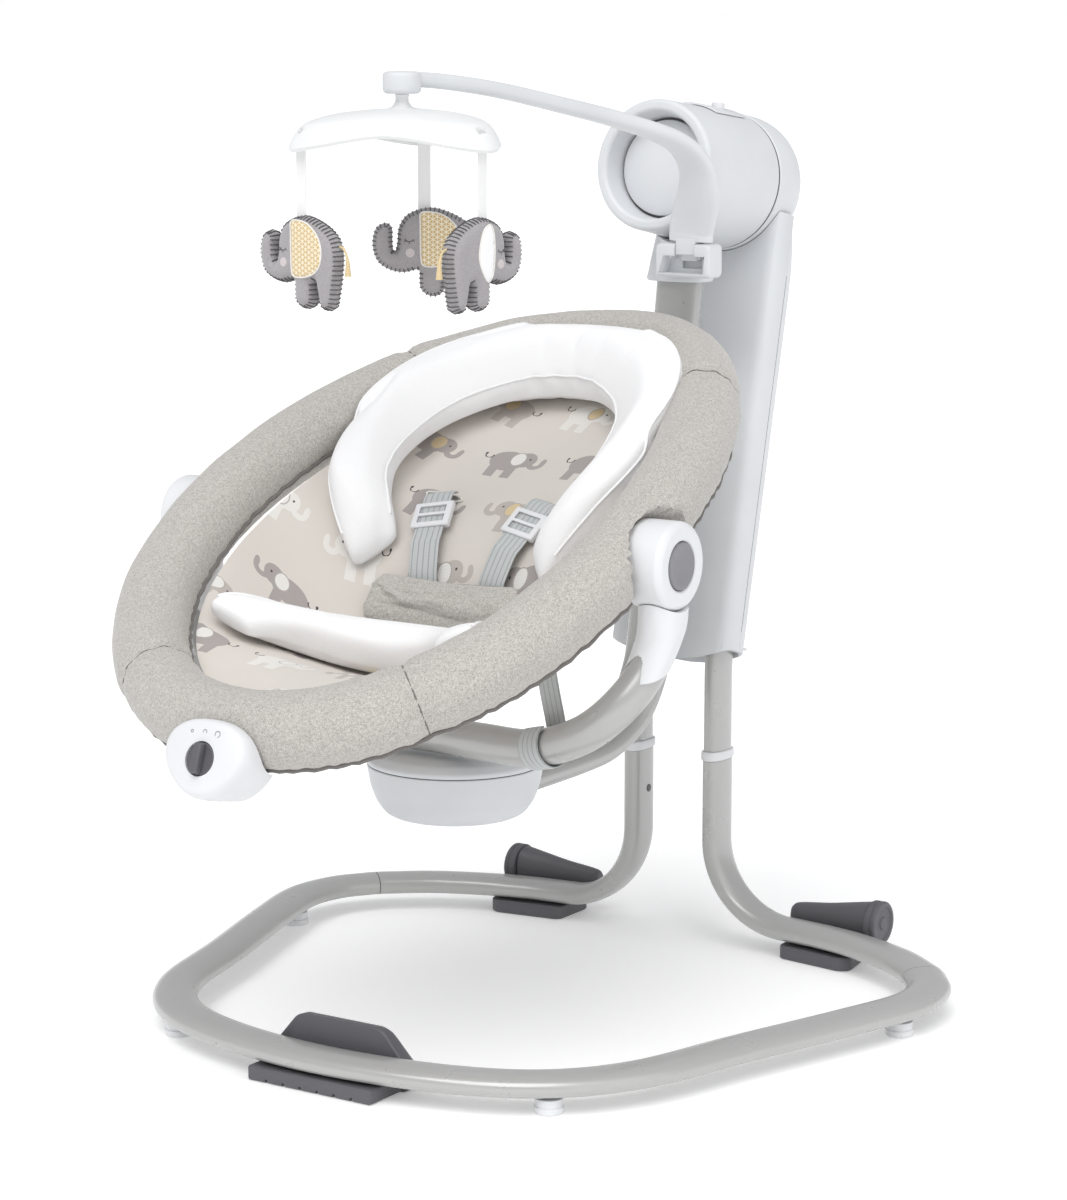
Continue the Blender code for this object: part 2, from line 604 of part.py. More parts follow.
def build_sleeve():
    """Moulded sleeve between drum and arm tube, with the mobile's socket on its front."""
    rings = []
    for y, z, w, d in ((0.2625, 0.5760, 0.0570, 0.0330), (0.2627, 0.5780, 0.0590, 0.0350),
                       (0.2650, 0.5930, 0.0545, 0.0345), (0.2665, 0.6020, 0.0515, 0.0340),
                       (0.2690, 0.6140, 0.0480, 0.0340)):
        rings.append([Vector((a, y + b, z)) for a, b in oval(w, d, 14, 2.8)])
    sleeve = add("arm_sleeve", loft(rings), pale_plastic(), "swing_arm")
    low, top = 0.5870, SOCKET_TOP - 0.0010
    neck = loft([[Vector((x, y, z)) for x, z in ((left, low), (right, low), (right, top), (left, top))]
                 for left, right, y in ((-0.0200, 0.0240, 0.2600), (0.0230, 0.0640, 0.2060))])
    block = box((0.0210, 0.1860, 0.5850), (0.0740, 0.2090, SOCKET_TOP), bevel=0.002)
    combine(sleeve, cutter("socket_neck", neck), "UNION")
    combine(sleeve, cutter("socket_block", block), "UNION")
    drum_cut = disc(drum_radius(-0.055) + 0.0010, -DRUM_LENGTH - 0.01, 0.01, DRUM_CENTRE, AXLE, 40)
    combine(sleeve, cutter("drum_clearance", drum_cut))
    blind = sweep_rings([Vector((0.0, 0.2585, 0.546)), Vector((0.0, 0.2658, 0.5945))],
                        oval(ARM_TUBE[0] + 3 * GAP, ARM_TUBE[1] + 3 * GAP, 12), X_AXIS)
    combine(sleeve, cutter("arm_bore", loft(blind)))
    window = box((0.0260, 0.1800, 0.5900), (0.0690, 0.2020, 0.6090))
    slot = box((0.0400, 0.1800, 0.5920), (0.0590, 0.2045, 0.6400))
    combine(sleeve, cutter("socket_window", window))
    combine(sleeve, cutter("socket_slot", slot))


def build_arm():
    build_sleeve()
    section = oval(*ARM_TUBE, 12)
    path = arm_path()
    add("arm_tube", tube(path, section, X_AXIS), silver_paint(), "swing_arm")


def build_hub():
    """Pot at the end of the arm that carries the seat's swivel bearing."""
    low, high = HUB_Z
    profile = [(0.0, low), (HUB_RADIUS[0] - 0.006, low), (HUB_RADIUS[0], low + 0.003),
               (0.0625, low + 0.012), (0.0670, low + 0.024), (HUB_RADIUS[1], high),
               (HUB_RADIUS[1] - 0.003, high), (0.0640, low + 0.024), (0.0590, low + 0.012),
               (0.0540, low + 0.0035), (0.0200, low + 0.0035), (0.0180, low + 0.018),
               (0.0, low + 0.018)]
    hub = add("hub_body", turned(profile, HUB_CENTRE, Z_AXIS, 24), pale_plastic(), "swing_arm")
    end = [Vector((0.0, -0.0304, 0.1880)), Vector((0.0, 0.020, 0.1880))]
    combine(hub, cutter("arm_notch", tube(end, oval(ARM_TUBE[0] + 3 * GAP, ARM_TUBE[1] + 3 * GAP, 12),
                                          X_AXIS)))
    bearing = turned([(0.0150, low + 0.019), (0.0300, low + 0.019), (0.0300, low + 0.026),
                      (0.0150, low + 0.026)], HUB_CENTRE, Z_AXIS, 16)
    add("swivel_bearing", bearing, steel(), "swing_arm")


# ---------------------------------------------------------------- seat carrier
def carrier_path():
    """The U tube that rises from the swivel plate to both seat hinges."""
    half = [(0.0, -0.1130, 0.2490), (0.060, -0.1250, 0.2510), (0.118, -0.1420, 0.2560),
            (0.165, -0.1520, 0.2720), (0.196, -0.1500, 0.2950), (0.212, -0.1330, 0.3230),
            (0.2180, -0.1200, 0.3570)]
    return smooth_path([(-x, y, z) for x, y, z in half[:0:-1]] + half, 2)


def build_carrier():
    low, high = HUB_Z
    lid = [(0.0, low + 0.0190), (0.0145, low + 0.0190), (0.0145, low + 0.0270),
           (0.0300, low + 0.0270), (0.0320, high + 0.0005),
           (HUB_RADIUS[1], high + 0.0005), (HUB_RADIUS[1] + 0.0004, high + 0.0040),
           (0.0650, high + 0.0095), (0.0540, high + 0.0125), (0.0, high + 0.0135)]
    plate = turned(lid, HUB_CENTRE, Z_AXIS, 24)
    cover = add("swivel_plate", plate, pale_plastic(), "turntable")
    path = carrier_path()
    saddle = tube(path, circle(CARRIER_RADIUS + GAP, 10), Y_AXIS)
    combine(cover, cutter("carrier_saddle", saddle))
    add("seat_carrier_tube", tube(path, circle(CARRIER_RADIUS, 10), Y_AXIS), silver_paint(),
        "turntable")
    for side, word in ((-1, "right"), (1, "left")):
        rings = []
        for x, y, z, wx, wy in ((0.2120, -0.1330, 0.3230, 0.0350, 0.0350),
                                (0.2165, -0.1255, 0.3420, 0.0355, 0.0365),
                                (0.2185, -0.1205, 0.3600, 0.0350, 0.0385),
                                (0.2182, -0.1200, 0.3960, 0.0325, 0.0420)):
            rings.append([Vector((side * x + a, y + b, z + b * 0.35)) for a, b in oval(wx, wy, 12, 2.3)])
        sleeve = add("carrier_sleeve_" + word, loft(rings), pale_plastic(), "turntable")
        ear = disc(HINGE_RADIUS + 0.0010, -0.03, 0.03, HINGE + X_AXIS * side * 0.218, X_AXIS, 24)
        combine(sleeve, cutter("hinge_clearance_" + word, ear))
        bore = tube(path, circle(CARRIER_RADIUS + GAP, 10), Y_AXIS)
        combine(sleeve, cutter("carrier_bore_" + word, bore))


# ---------------------------------------------------------------- seat
def rim_point(t):
    """Centre line of the egg-shaped rim in the seat frame; t = 0 at the foot end."""
    along = -math.cos(t)
    return Vector((RIM_WIDTH * math.sin(t) * (1 + RIM_EGG * math.cos(t)), RIM_LENGTH * along,
                   RIM_BOW[0] * along ** 2 + RIM_BOW[1] * along ** 3))


def rim_path(count):
    return [SEAT_FRAME @ rim_point(2 * math.pi * i / count) for i in range(count)]


def bowl_depth(along):
    """Depth of the sling on the centre line: deep under the hips, shallow at the head."""
    hips = 0.098 * math.exp(-((along + 0.085) / 0.095) ** 2)
    back = 0.030 * math.exp(-((along - 0.110) / 0.120) ** 2)
    return hips + back


def sling(x, along):
    """Height of the upper side of the seat fabric in the seat frame."""
    t = math.atan2(x / RIM_WIDTH, -along / RIM_LENGTH)
    edge = rim_point(t)
    reach = max(Vector((edge.x, edge.y)).length - 0.034, 0.01)
    ratio = min(math.hypot(x, along) / reach, 1.0)
    level = edge.z * ratio ** 2 - 0.012
    return level - bowl_depth(along) * (1 - ratio ** 2.6)


def sling_point(x, along, lift=0.0):
    return SEAT_FRAME @ Vector((x, along, sling(x, along) + lift))


def cushion_point(x, along, lift):
    """A point above the sling or, near the rim, above the padded cover's inner shoulder."""
    edge = rim_point(math.atan2(x / RIM_WIDTH, -along / RIM_LENGTH))
    off = Vector((edge.x, edge.y)).length - math.hypot(x, along)
    clear = PAD_RADIUS + 0.0020
    low = sling(x, along) + lift
    if off < clear:
        low = max(low, edge.z + math.sqrt(clear ** 2 - off ** 2))
    return low


def build_rim():
    """Steel rim with its padded cover, a thick C that opens underneath."""
    frame_section = circle(RIM_TUBE_RADIUS, 6)
    add("rim_frame", tube(rim_path(32), frame_section, SEAT_OUT, True), silver_paint(), "seat")
    outer = [(PAD_RADIUS * math.cos(a), PAD_RADIUS * math.sin(a))
             for a in [math.radians(-70 + 320 * i / 8) for i in range(9)]]
    inner_radius = RIM_TUBE_RADIUS + 0.0026
    inner = [(inner_radius * math.cos(a), inner_radius * math.sin(a))
             for a in [math.radians(250 - 320 * i / 5) for i in range(6)]]
    rings = []
    count = 32
    for i, centre in enumerate(rim_path(count)):
        ahead = SEAT_FRAME @ rim_point(2 * math.pi * (i + 1) / count)
        behind = SEAT_FRAME @ rim_point(2 * math.pi * (i - 1) / count)
        tangent = (ahead - behind).normalized()
        up = (SEAT_OUT - tangent * SEAT_OUT.dot(tangent)).normalized()
        across = tangent.cross(up)
        rings.append([centre + across * a + up * b for a, b in outer + inner])
    pad = add("rim_pad", loft(rings, True), heather_fabric(), "seat")
    for side, word in ((-1, "right"), (1, "left")):
        clear = disc(HINGE_RADIUS + 0.0022, -0.020, 0.020, HINGE + X_AXIS * side * 0.2202, X_AXIS, 20)
        combine(pad, cutter("hinge_recess_" + word, clear))


def build_sling():
    """The hung fabric seat: a closed sheet between the rim's inner edges."""
    count, steps = 28, 8
    top, bottom = [], []
    for k in range(steps + 1):
        ratio = k / steps
        upper, lower = [], []
        for i in range(count):
            t = 2 * math.pi * i / count
            edge = rim_point(t)
            flat = Vector((edge.x, edge.y))
            reach = flat * ((flat.length - 0.0345) / flat.length) * ratio
            upper.append(sling_point(reach.x, reach.y))
            lower.append(sling_point(reach.x, reach.y, -SEAT_FABRIC))
        top.append(upper)
        bottom.append(lower)
    add("seat_sling", loft(top[1:] + bottom[:0:-1]), print_fabric(), "seat")


def patch_solid(near, far, lift, thick, steps=4, power=1.0, lean=0.0):
    """A pad lying on the sling, crowned between its near and far edges.

    Both edges are rows of equal length of points in seat x and y; lean lifts the far one.
    """
    rings = []
    for i, (a, b) in enumerate(zip(near, far)):
        end = math.sin(math.pi * (i + 0.6) / (len(near) + 0.2)) ** 0.4
        low, high = [], []
        for k in range(steps + 1):
            mix = k / steps
            crown = thick * end * (0.35 + 0.65 * math.sin(math.pi * mix) ** power + lean * mix ** 2)
            x = a[0] + (b[0] - a[0]) * mix
            y = a[1] + (b[1] - a[1]) * mix
            base = cushion_point(x, y, lift)
            low.append(SEAT_FRAME @ Vector((x, y, base)))
            high.append(SEAT_FRAME @ Vector((x, y, base + crown)))
        rings.append(low + high[::-1])
    return loft(rings)


def arc_rows(centre, inner, outer, start, stop, count):
    """Two concentric elliptic arcs, in seat x and y, from one angle to another."""
    rows = []
    for rx, ry in (inner, outer):
        row = []
        for i in range(count):
            angle = math.radians(start + (stop - start) * i / (count - 1))
            row.append((centre[0] + rx * math.cos(angle), centre[1] + ry * math.sin(angle)))
        rows.append(row)
    return rows


def build_inserts():
    """Padded newborn insert: head horseshoe, hip roll and crotch pad."""
    head = arc_rows((0.0, 0.088), (0.094, 0.104), (0.144, 0.162), -46, 226, 19)
    bolster = add("head_insert", patch_solid(*head, 0.0050, 0.052, 8, 0.7, 0.36), white_fabric(), "seat")
    rest = tube(rim_path(32), circle(PAD_RADIUS + 0.0014, 14), SEAT_OUT, True)
    combine(bolster, cutter("bolster_rest", rest))
    hips = arc_rows((0.0, -0.175), (0.085, 0.058), (0.137, 0.110), 14, 166, 13)
    add("hip_insert", patch_solid(*hips, 0.0060, 0.045, 6, 0.7), white_fabric(), "seat")
    rows = [[(x, y) for x in (-0.072, -0.044, 0.0, 0.044, 0.072)] for y in (-0.058, -0.016)]
    add("crotch_pad", patch_solid(*rows, 0.0080, 0.020), heather_fabric(), "seat")


def strap_centre(mix, side, lift):
    x = STRAP_LOW[0] + (STRAP_TOP[0] - STRAP_LOW[0]) * mix
    y = STRAP_LOW[1] + (STRAP_TOP[1] - STRAP_LOW[1]) * mix
    low = sling(STRAP_LOW[0], STRAP_LOW[1])
    high = sling(STRAP_TOP[0], STRAP_TOP[1])
    return SEAT_FRAME @ Vector((side * x, y, low + (high - low) * mix + lift))


def build_harness():
    """Two straight shoulder straps, each through a sliding ladder adjuster."""
    for side, word in ((-1, "right"), (1, "left")):
        low, high = strap_centre(0.0, side, 0.0125), strap_centre(1.0, side, 0.0095)
        along = (high - low).normalized()
        across = (X_AXIS - along * X_AXIS.dot(along)).normalized()
        up = across.cross(along)
        frame = frame_at(low, across, along, up)
        length = (high - low).length
        strap = box((-0.0125, 0.0, 0.0), (0.0125, length, 0.0016), frame)
        add("shoulder_strap_" + word, strap, grey_webbing(), "seat")
        middle = length * STRAP_MIDDLE
        body = box((-0.0170, middle - 0.0125, -0.0020), (0.0170, middle + 0.0125, 0.0036),
                   frame, 0.0008)
        adjuster = add("strap_adjuster_" + word, body, pale_plastic(), "adjuster_" + word)
        slot = box((-0.0130, middle - 0.03, -0.0005), (0.0130, middle + 0.03, 0.0021), frame)
        combine(adjuster, cutter("adjuster_slot_" + word, slot))


def build_hinges():
    for side, word in ((-1, "right"), (1, "left")):
        axis = (side, 0, 0)
        inner, outer = HINGE_FACES
        profile = [(0.0, inner), (HINGE_RADIUS, inner), (HINGE_RADIUS, outer - 0.004),
                   (HINGE_RADIUS - 0.004, outer), (BUTTON_RADIUS + 0.0004, outer),
                   (BUTTON_RADIUS + 0.0004, inner + 0.0125), (0.0, inner + 0.0125)]
        housing = turned(profile, (0.0, HINGE.y, HINGE.z), axis, 24)
        add("hinge_housing_" + word, housing, pale_plastic(), "seat")
        key = [(0.0, inner + 0.0165), (BUTTON_RADIUS, inner + 0.0165),
               (BUTTON_RADIUS, outer - 0.0012), (BUTTON_RADIUS - 0.0015, outer),
               (0.0, outer - 0.0025)]
        button = turned(key, (0.0, HINGE.y, HINGE.z), axis, 20)
        add("recline_button_" + word, button, dark_plastic(), "recline_button_" + word)


def build_pod():
    """Shield-shaped vibration unit clipped over the foot end of the rim."""
    outline = []
    for i in range(20):
        a = 2 * math.pi * i / 20
        x, y = math.cos(a), math.sin(a)
        narrow = 1.0 if y > 0 else 1.0 - 0.30 * abs(y) ** 1.5
        outline.append((0.0365 * math.copysign(abs(x) ** 0.85, x) * narrow,
                        (0.024 if y > 0 else 0.034) * math.copysign(abs(y) ** 0.9, y)))
    rings = []
    for depth, grow in ((0.0300, 0.86), (0.0050, 0.97), (-0.0100, 1.0), (-0.0160, 0.93),
                        (-0.0180, 0.80)):
        rings.append([POD_FRAME @ Vector((x * grow, y * grow, depth)) for x, y in outline])
    pod = add("vibration_pod", loft(rings), pale_plastic(), "seat")
    clear = tube(rim_path(32), circle(PAD_RADIUS + 0.0014, 12), SEAT_OUT, True)
    combine(pod, cutter("pad_clearance", clear))
    seat_hole = disc(0.0128, -0.02, 0.0050, POD_FRAME @ DIAL_SPOT, -POD_OUT, 20)
    combine(pod, cutter("dial_recess", seat_hole))
    knob = disc(0.0122, 0.0, 0.0125, POD_FRAME @ (DIAL_SPOT + Vector((0, 0, 0.0045))), POD_OUT,
                20, 0.0008)
    dial = add("vibration_dial", knob, dark_plastic(), "vibration_dial")
    grip = box((-0.0032, -0.0110, -0.0145), (0.0032, 0.0110, -0.0070),
               POD_FRAME @ Matrix.Translation(DIAL_SPOT), 0.0012)
    combine(dial, cutter("dial_grip", grip), "UNION")


def build_retaining_straps():
    """Press-stud straps that loop under the carrier tube and rise to the seat's underside."""
    for side, word in ((-1, "right"), (1, "left")):
        centre = Vector((side * 0.1300, -0.1455, 0.2592))
        along = Vector((0.92 * side, -0.19, 0.24)).normalized()
        up = (Z_AXIS - along * along.z).normalized()
        out = along.cross(up) * side
        outer, inner = CARRIER_RADIUS + 0.0026, CARRIER_RADIUS + 0.0012
        angles = [math.radians(180 + 25 * i) for i in range(11)]
        shape = [(-outer, STRAP_REACH)]
        shape += [(outer * math.cos(a), outer * math.sin(a)) for a in angles]
        shape += [(inner * math.cos(a), inner * math.sin(a)) for a in reversed(angles)]
        shape += [(-inner, STRAP_REACH)]
        strap = loft([[centre + along * shift + out * a + up * b for a, b in shape]
                      for shift in (-0.0105, 0.0105)])
        add("retaining_strap_" + word, strap, grey_webbing(), "turntable")


# ---------------------------------------------------------------- toy mobile
def mobile_path():
    return smooth_path([(0.0495, 0.1980, SOCKET_TOP + 5 * GAP), (0.0500, 0.1975, 0.6240),
                        (0.0560, 0.1930, 0.6390), (0.0630, 0.1870, 0.6560),
                        (0.0655, 0.1775, 0.6780), (0.0595, 0.1530, 0.6990), (0.0430, 0.0980, 0.7160),
                        (0.0290, 0.0300, 0.7300), (0.0170, -0.0430, 0.7430),
                        (0.0060, -0.1060, 0.7505), (0.0, -0.1450, 0.7520)], 2)


def build_mobile():
    """Curved arm that plugs into the sleeve, a three-lobed canopy and three hanging toys."""
    def section(s):
        width = 0.0130 + 0.0275 / (1 + math.exp((s - 0.50) / 0.085))
        height = 0.0160 - 0.0020 * min(s / 0.40, 1.0) - 0.0050 * max(s - 0.40, 0.0)
        return oval(width, height, 10, 2.4)
    path = mobile_path()
    arm = add("mobile_arm", tube(path, section, X_AXIS), pale_plastic(), "mobile")
    tongue = box((0.0415, 0.1945, 0.5980), (0.0575, 0.2030, 0.6210))
    combine(arm, cutter("mobile_tongue", tongue), "UNION")
    knuckle = disc(0.0145, -0.0085, 0.0080, MOBILE_TIP, Z_AXIS, 16, 0.002)
    combine(arm, cutter("mobile_knuckle", knuckle), "UNION")

    stem = [(0.0, -0.0085 - GAP), (0.0060, -0.0085 - GAP), (0.0065, -0.0130), (0.0110, -0.0170),
            (0.0110, -0.0240), (0.0, -0.0240)]
    canopy = add("mobile_canopy", canopy_body(), pale_plastic(), "mobile_canopy")
    combine(canopy, cutter("canopy_stem", turned(stem, MOBILE_TIP, Z_AXIS, 16)), "UNION")
    for angle, word in zip(TOY_ANGLES, TOY_NAMES):
        build_toy(angle, word)


def lobe_radius(angle):
    """Plan radius of the canopy, largest at its three arms."""
    nearest = min(abs((math.degrees(angle) - a + 180) % 360 - 180) for a in TOY_ANGLES)
    return CANOPY_RADIUS * (1.0 - 0.30 * math.sin(math.radians(min(nearest, 60) * 1.5)) ** 1.6)


def canopy_body():
    """Shallow dome with a hollow underside."""
    top, under = [], []
    count = 24
    for level, fall in ((0.12, 0.0), (0.60, 0.0040), (0.88, 0.0130), (1.0, 0.0280)):
        ring, low = [], []
        for i in range(count):
            a = 2 * math.pi * i / count
            r = lobe_radius(a) * level
            drop = fall * (lobe_radius(a) / CANOPY_RADIUS) ** 1.3
            base = MOBILE_TIP + Vector((r * math.cos(a), r * math.sin(a), -0.0195 - drop))
            ring.append(base)
            inner = (r - 0.0018) if level > 0.9 else r
            low.append(MOBILE_TIP + Vector((inner * math.cos(a), inner * math.sin(a),
                                            -0.0215 - drop - (0.0005 if level == 1.0 else 0.0))))
        top.append(ring)
        under.append(low)
    return loft(top + list(reversed(under)))


def toy_hook(angle):
    a = math.radians(angle)
    return MOBILE_TIP + Vector((0.079 * math.cos(a), 0.079 * math.sin(a), -0.0435))


def build_toy(angle, word):
    """A ribbon and a flat stuffed elephant that swing together below a canopy arm."""
    hook = toy_hook(angle)
    a = math.radians(angle + TOY_FACING[word])
    across = Vector((math.cos(a), math.sin(a), 0.0))
    through = Vector((-math.sin(a), math.cos(a), 0.0))
    frame = frame_at(hook, across, through, Z_AXIS)
    ribbon = box((-0.0050, -0.0006, -0.0600), (0.0050, 0.0006, -0.0085), frame)
    outline = elephant_outline()
    centre = Vector((0.0, 0.0, -0.088))
    rings = []
    for y, grow in ((-0.0085, 0.82), (0.0, 1.0), (0.0085, 0.82)):
        rings.append([frame @ (centre + Vector((x * grow, y, z * grow))) for x, z in outline])
    toy = add("toy_" + word, loft(rings), grey_plush(), "toy_" + word)
    combine(toy, cutter("toy_ribbon_" + word, ribbon), "UNION")


def elephant_outline():
    """Side view of a plain toy elephant: domed back, two leg blocks, a raised trunk."""
    return [(-0.031, 0.022), (-0.039, 0.013), (-0.040, 0.002), (-0.034, -0.010),
            (-0.018, -0.016), (-0.005, -0.014), (-0.004, -0.026), (0.003, -0.034),
            (0.012, -0.033), (0.0155, -0.016), (0.019, -0.016), (0.024, -0.033),
            (0.034, -0.033), (0.040, -0.008), (0.040, 0.010), (0.030, 0.025),
            (0.006, 0.034), (-0.012, 0.030), (-0.0200, 0.018), (-0.0215, 0.002),
            (-0.0250, 0.002), (-0.0255, 0.017)]


# ---------------------------------------------------------------- assembly
def build_pivots():
    pivot("stand", (0.0, 0.0, 0.0))
    pivot("swing_arm", DRUM_CENTRE, "stand")
    pivot("turntable", HUB_CENTRE + Z_AXIS * HUB_Z[1], "swing_arm")
    pivot("seat", HINGE, "turntable")
    pivot("vibration_dial", POD_FRAME @ DIAL_SPOT, "seat")
    for word in ("power", "speed"):
        x = BUTTON_SPOTS[0] if word == "power" else BUTTON_SPOTS[1]
        pivot(word + "_button", DRUM_CENTRE + AXLE * PANEL_Y + X_AXIS * x, "swing_arm")
    for side, word in ((-1, "right"), (1, "left")):
        pivot("wheel_" + word, mirrored(WHEEL_CENTRE, side), "stand")
        pivot("recline_button_" + word, HINGE + X_AXIS * side * HINGE_FACES[1], "seat")
        pivot("adjuster_" + word, strap_centre(STRAP_MIDDLE, side, 0.008), "seat")
    pivot("mobile", (0.0495, 0.1985, SOCKET_TOP), "swing_arm")
    pivot("mobile_canopy", MOBILE_TIP, "mobile")
    for angle, word in zip(TOY_ANGLES, TOY_NAMES):
        pivot("toy_" + word, toy_hook(angle), "mobile_canopy")


def main():
    clear_scene()
    build_pivots()
    build_base()
    build_legs()
    build_feet()
    build_rear_feet()
    build_covers()
    build_column_inside()
    build_drum()
    build_controls()
    build_arm()
    build_hub()
    build_carrier()
    build_rim()
    build_sling()
    build_inserts()
    build_harness()
    build_hinges()
    build_pod()
    build_retaining_straps()
    build_mobile()


main()
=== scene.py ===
"""Looks of the baby swing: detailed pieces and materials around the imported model.

Metres, +Z up, +X to the sitter's left, the seat faces -Y. Sizes are the design's own.
"""

import math

import bmesh
import bpy
from mathutils import Matrix, Vector, noise
from mathutils.geometry import delaunay_2d_cdt


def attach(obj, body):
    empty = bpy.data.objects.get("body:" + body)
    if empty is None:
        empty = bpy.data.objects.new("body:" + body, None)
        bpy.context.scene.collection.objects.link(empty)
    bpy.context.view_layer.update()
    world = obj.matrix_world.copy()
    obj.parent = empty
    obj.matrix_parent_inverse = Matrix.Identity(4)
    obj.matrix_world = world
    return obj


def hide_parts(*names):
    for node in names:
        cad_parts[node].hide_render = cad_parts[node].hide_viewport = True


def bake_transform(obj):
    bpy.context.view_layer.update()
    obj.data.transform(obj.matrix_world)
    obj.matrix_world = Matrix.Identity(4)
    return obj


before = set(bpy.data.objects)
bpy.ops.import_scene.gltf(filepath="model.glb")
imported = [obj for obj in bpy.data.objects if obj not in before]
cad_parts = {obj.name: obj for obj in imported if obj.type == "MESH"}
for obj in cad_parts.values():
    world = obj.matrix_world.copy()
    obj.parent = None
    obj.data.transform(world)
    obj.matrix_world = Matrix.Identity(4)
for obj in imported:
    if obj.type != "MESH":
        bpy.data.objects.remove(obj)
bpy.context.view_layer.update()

# ---------------------------------------------------------------- dimensions of the design
GAP = 0.0004
BASE_TUBE = (0.036, 0.018)
BASE_TUBE_Z = 0.0215
RING_JOINT = (0.277, 0.197)
RING_FRONT = ((0.0, -0.254), (0.095, -0.243), (0.17, -0.212), (0.219, -0.153),
              (0.25, -0.055), (0.285, 0.05), (0.304, 0.118), (0.299, 0.163))
RING_REAR = ((0.236, 0.229), (0.186, 0.251), (0.146, 0.261))
FOOT_SPOTS = ((0.176, -0.208), (0.302, 0.108))
FOOT_RADIUS = 0.0115
RISER_X, RISER_Y, RISER_BEND = 0.04, 0.265, 0.072
LEG_TUBE = (0.0325, 0.018)
COLLAR_Z = (0.164, 0.172)
WHEEL_CENTRE = (0.1855, 0.2925, 0.032)
WHEEL_RADIUS = 0.019

COLUMN_LEAN = math.radians(13.4)
COLUMN_FOOT = Vector((0.0, 0.241, 0.252))
COLUMN_HALF_WIDTH = 0.06
COLUMN_DEPTH = 0.0445
COLUMN_SPLIT_TOP = 0.392
COLUMN_BOW = 0.014
COLUMN_SEAM = 0.0245
SCREW_SPOTS = [(x, z) for z in (0.105, 0.33) for x in (-0.032, 0.032)]
SHELL = 0.0024

DRUM_TILT = math.radians(9.0)
DRUM_CENTRE = Vector((0.0, 0.328, 0.658))
DRUM_LENGTH = 0.1135
DRUM_RADIUS = (0.055, 0.0592)
HEAD_RADIUS, HEAD_DEPTH, HEAD_START = 0.06, 0.072, 0.0008
AXLE_HOLE = 0.0095
PANEL_Y = -0.038
BUTTON_SPOTS = (-0.014, 0.014)

ARM_TUBE = (0.043, 0.02)
HUB_CENTRE = Vector((0.0, -0.075, 0.0))
HUB_Z = (0.178, 0.219)
HUB_RADIUS = (0.056, 0.07)
CARRIER_RADIUS = 0.0145

HINGE = Vector((0.0, -0.12, 0.402))
HINGE_RADIUS = 0.033
HINGE_FACES = (0.201, 0.235)
BUTTON_RADIUS = 0.018

SEAT_CENTRE = Vector((0.0, -0.092, 0.43))
SEAT_TILT = math.radians(26.0)
RIM_LENGTH, RIM_WIDTH, RIM_EGG = 0.285, 0.19, 0.12
RIM_BOW = (-0.022, -0.008)
PAD_RADIUS = 0.03
RIM_STEPS = 280
STRAP_LOW, STRAP_TOP = (0.036, 0.002), (0.05, 0.06)
STRAP_MIDDLE, STRAP_REACH = 0.58, 0.055
SWELL_PRESSURE, SWELL_FRAMES = 4.0, 20
STITCH_STEP = 0.0036
POD_TILT = math.radians(20.0)
POD_CENTRE = Vector((0.0, -0.3725, 0.279))
DIAL_SPOT = Vector((0.0, -0.006, -0.01))

SOCKET_TOP = 0.613
MOBILE_TIP = Vector((0.0, -0.141, 0.75))
CANOPY_RADIUS = 0.088
TOY_ANGLES = (233.5, 353.5, 113.5)
TOY_NAMES = ("front", "right", "rear")
TOY_FACING = {"front": 118.5, "right": 270.0, "rear": 280.0}

SIDES = ((-1, "right"), (1, "left"))

CAMERA_PLACE, CAMERA_AIM = Vector((1.501, -2.225, 0.802)), Vector((0.0, 0.0366, 0.3321))
CAMERA_LENS = 102.0


# ---------------------------------------------------------------- shape tools
def oval(width, height, sides=28, power=2.6):
    """Points of a flat-sided oval, as (across, up) pairs."""
    points = []
    for i in range(sides):
        angle = 2 * math.pi * (i + 0.5) / sides
        c, s = math.cos(angle), math.sin(angle)
        points.append((width / 2 * math.copysign(abs(c) ** (2 / power), c),
                       height / 2 * math.copysign(abs(s) ** (2 / power), s)))
    return points


def circle(radius, sides=28):
    return oval(2 * radius, 2 * radius, sides, 2.0)


def smooth_path(points, steps, closed=False):
    """Catmull-Rom curve through the points, with the given steps per span."""
    pts = [Vector(p) for p in points]
    spans = len(pts) if closed else len(pts) - 1
    if not closed:
        pts = [2 * pts[0] - pts[1]] + pts + [2 * pts[-1] - pts[-2]]
    path = []
    for i in range(spans):
        a, b, c, d = [pts[(i + k - (1 if closed else 0)) % len(pts)] for k in range(4)]
        for j in range(steps):
            t = j / steps
            path.append(0.5 * (2 * b + (c - a) * t + (2 * a - 5 * b + 4 * c - d) * t ** 2
                               + (3 * b - a - 3 * c + d) * t ** 3))
    if not closed:
        path.append(pts[-2].copy())
    return path


def sweep_rings(path, section, width_axis, closed=False):
    """Rings of a section carried along a path; the section may be a function of 0..1."""
    rings = []
    across = Vector(width_axis)
    count = len(path)
    for i, point in enumerate(path):
        if closed:
            tangent = path[(i + 1) % count] - path[i - 1]
        else:
            tangent = path[min(i + 1, count - 1)] - path[max(i - 1, 0)]
        tangent.normalize()
        across = (across - tangent * across.dot(tangent)).normalized()
        up = tangent.cross(across)
        shape = section(i / (count - 1)) if callable(section) else section
        rings.append([point + across * a + up * b for a, b in shape])
    return rings


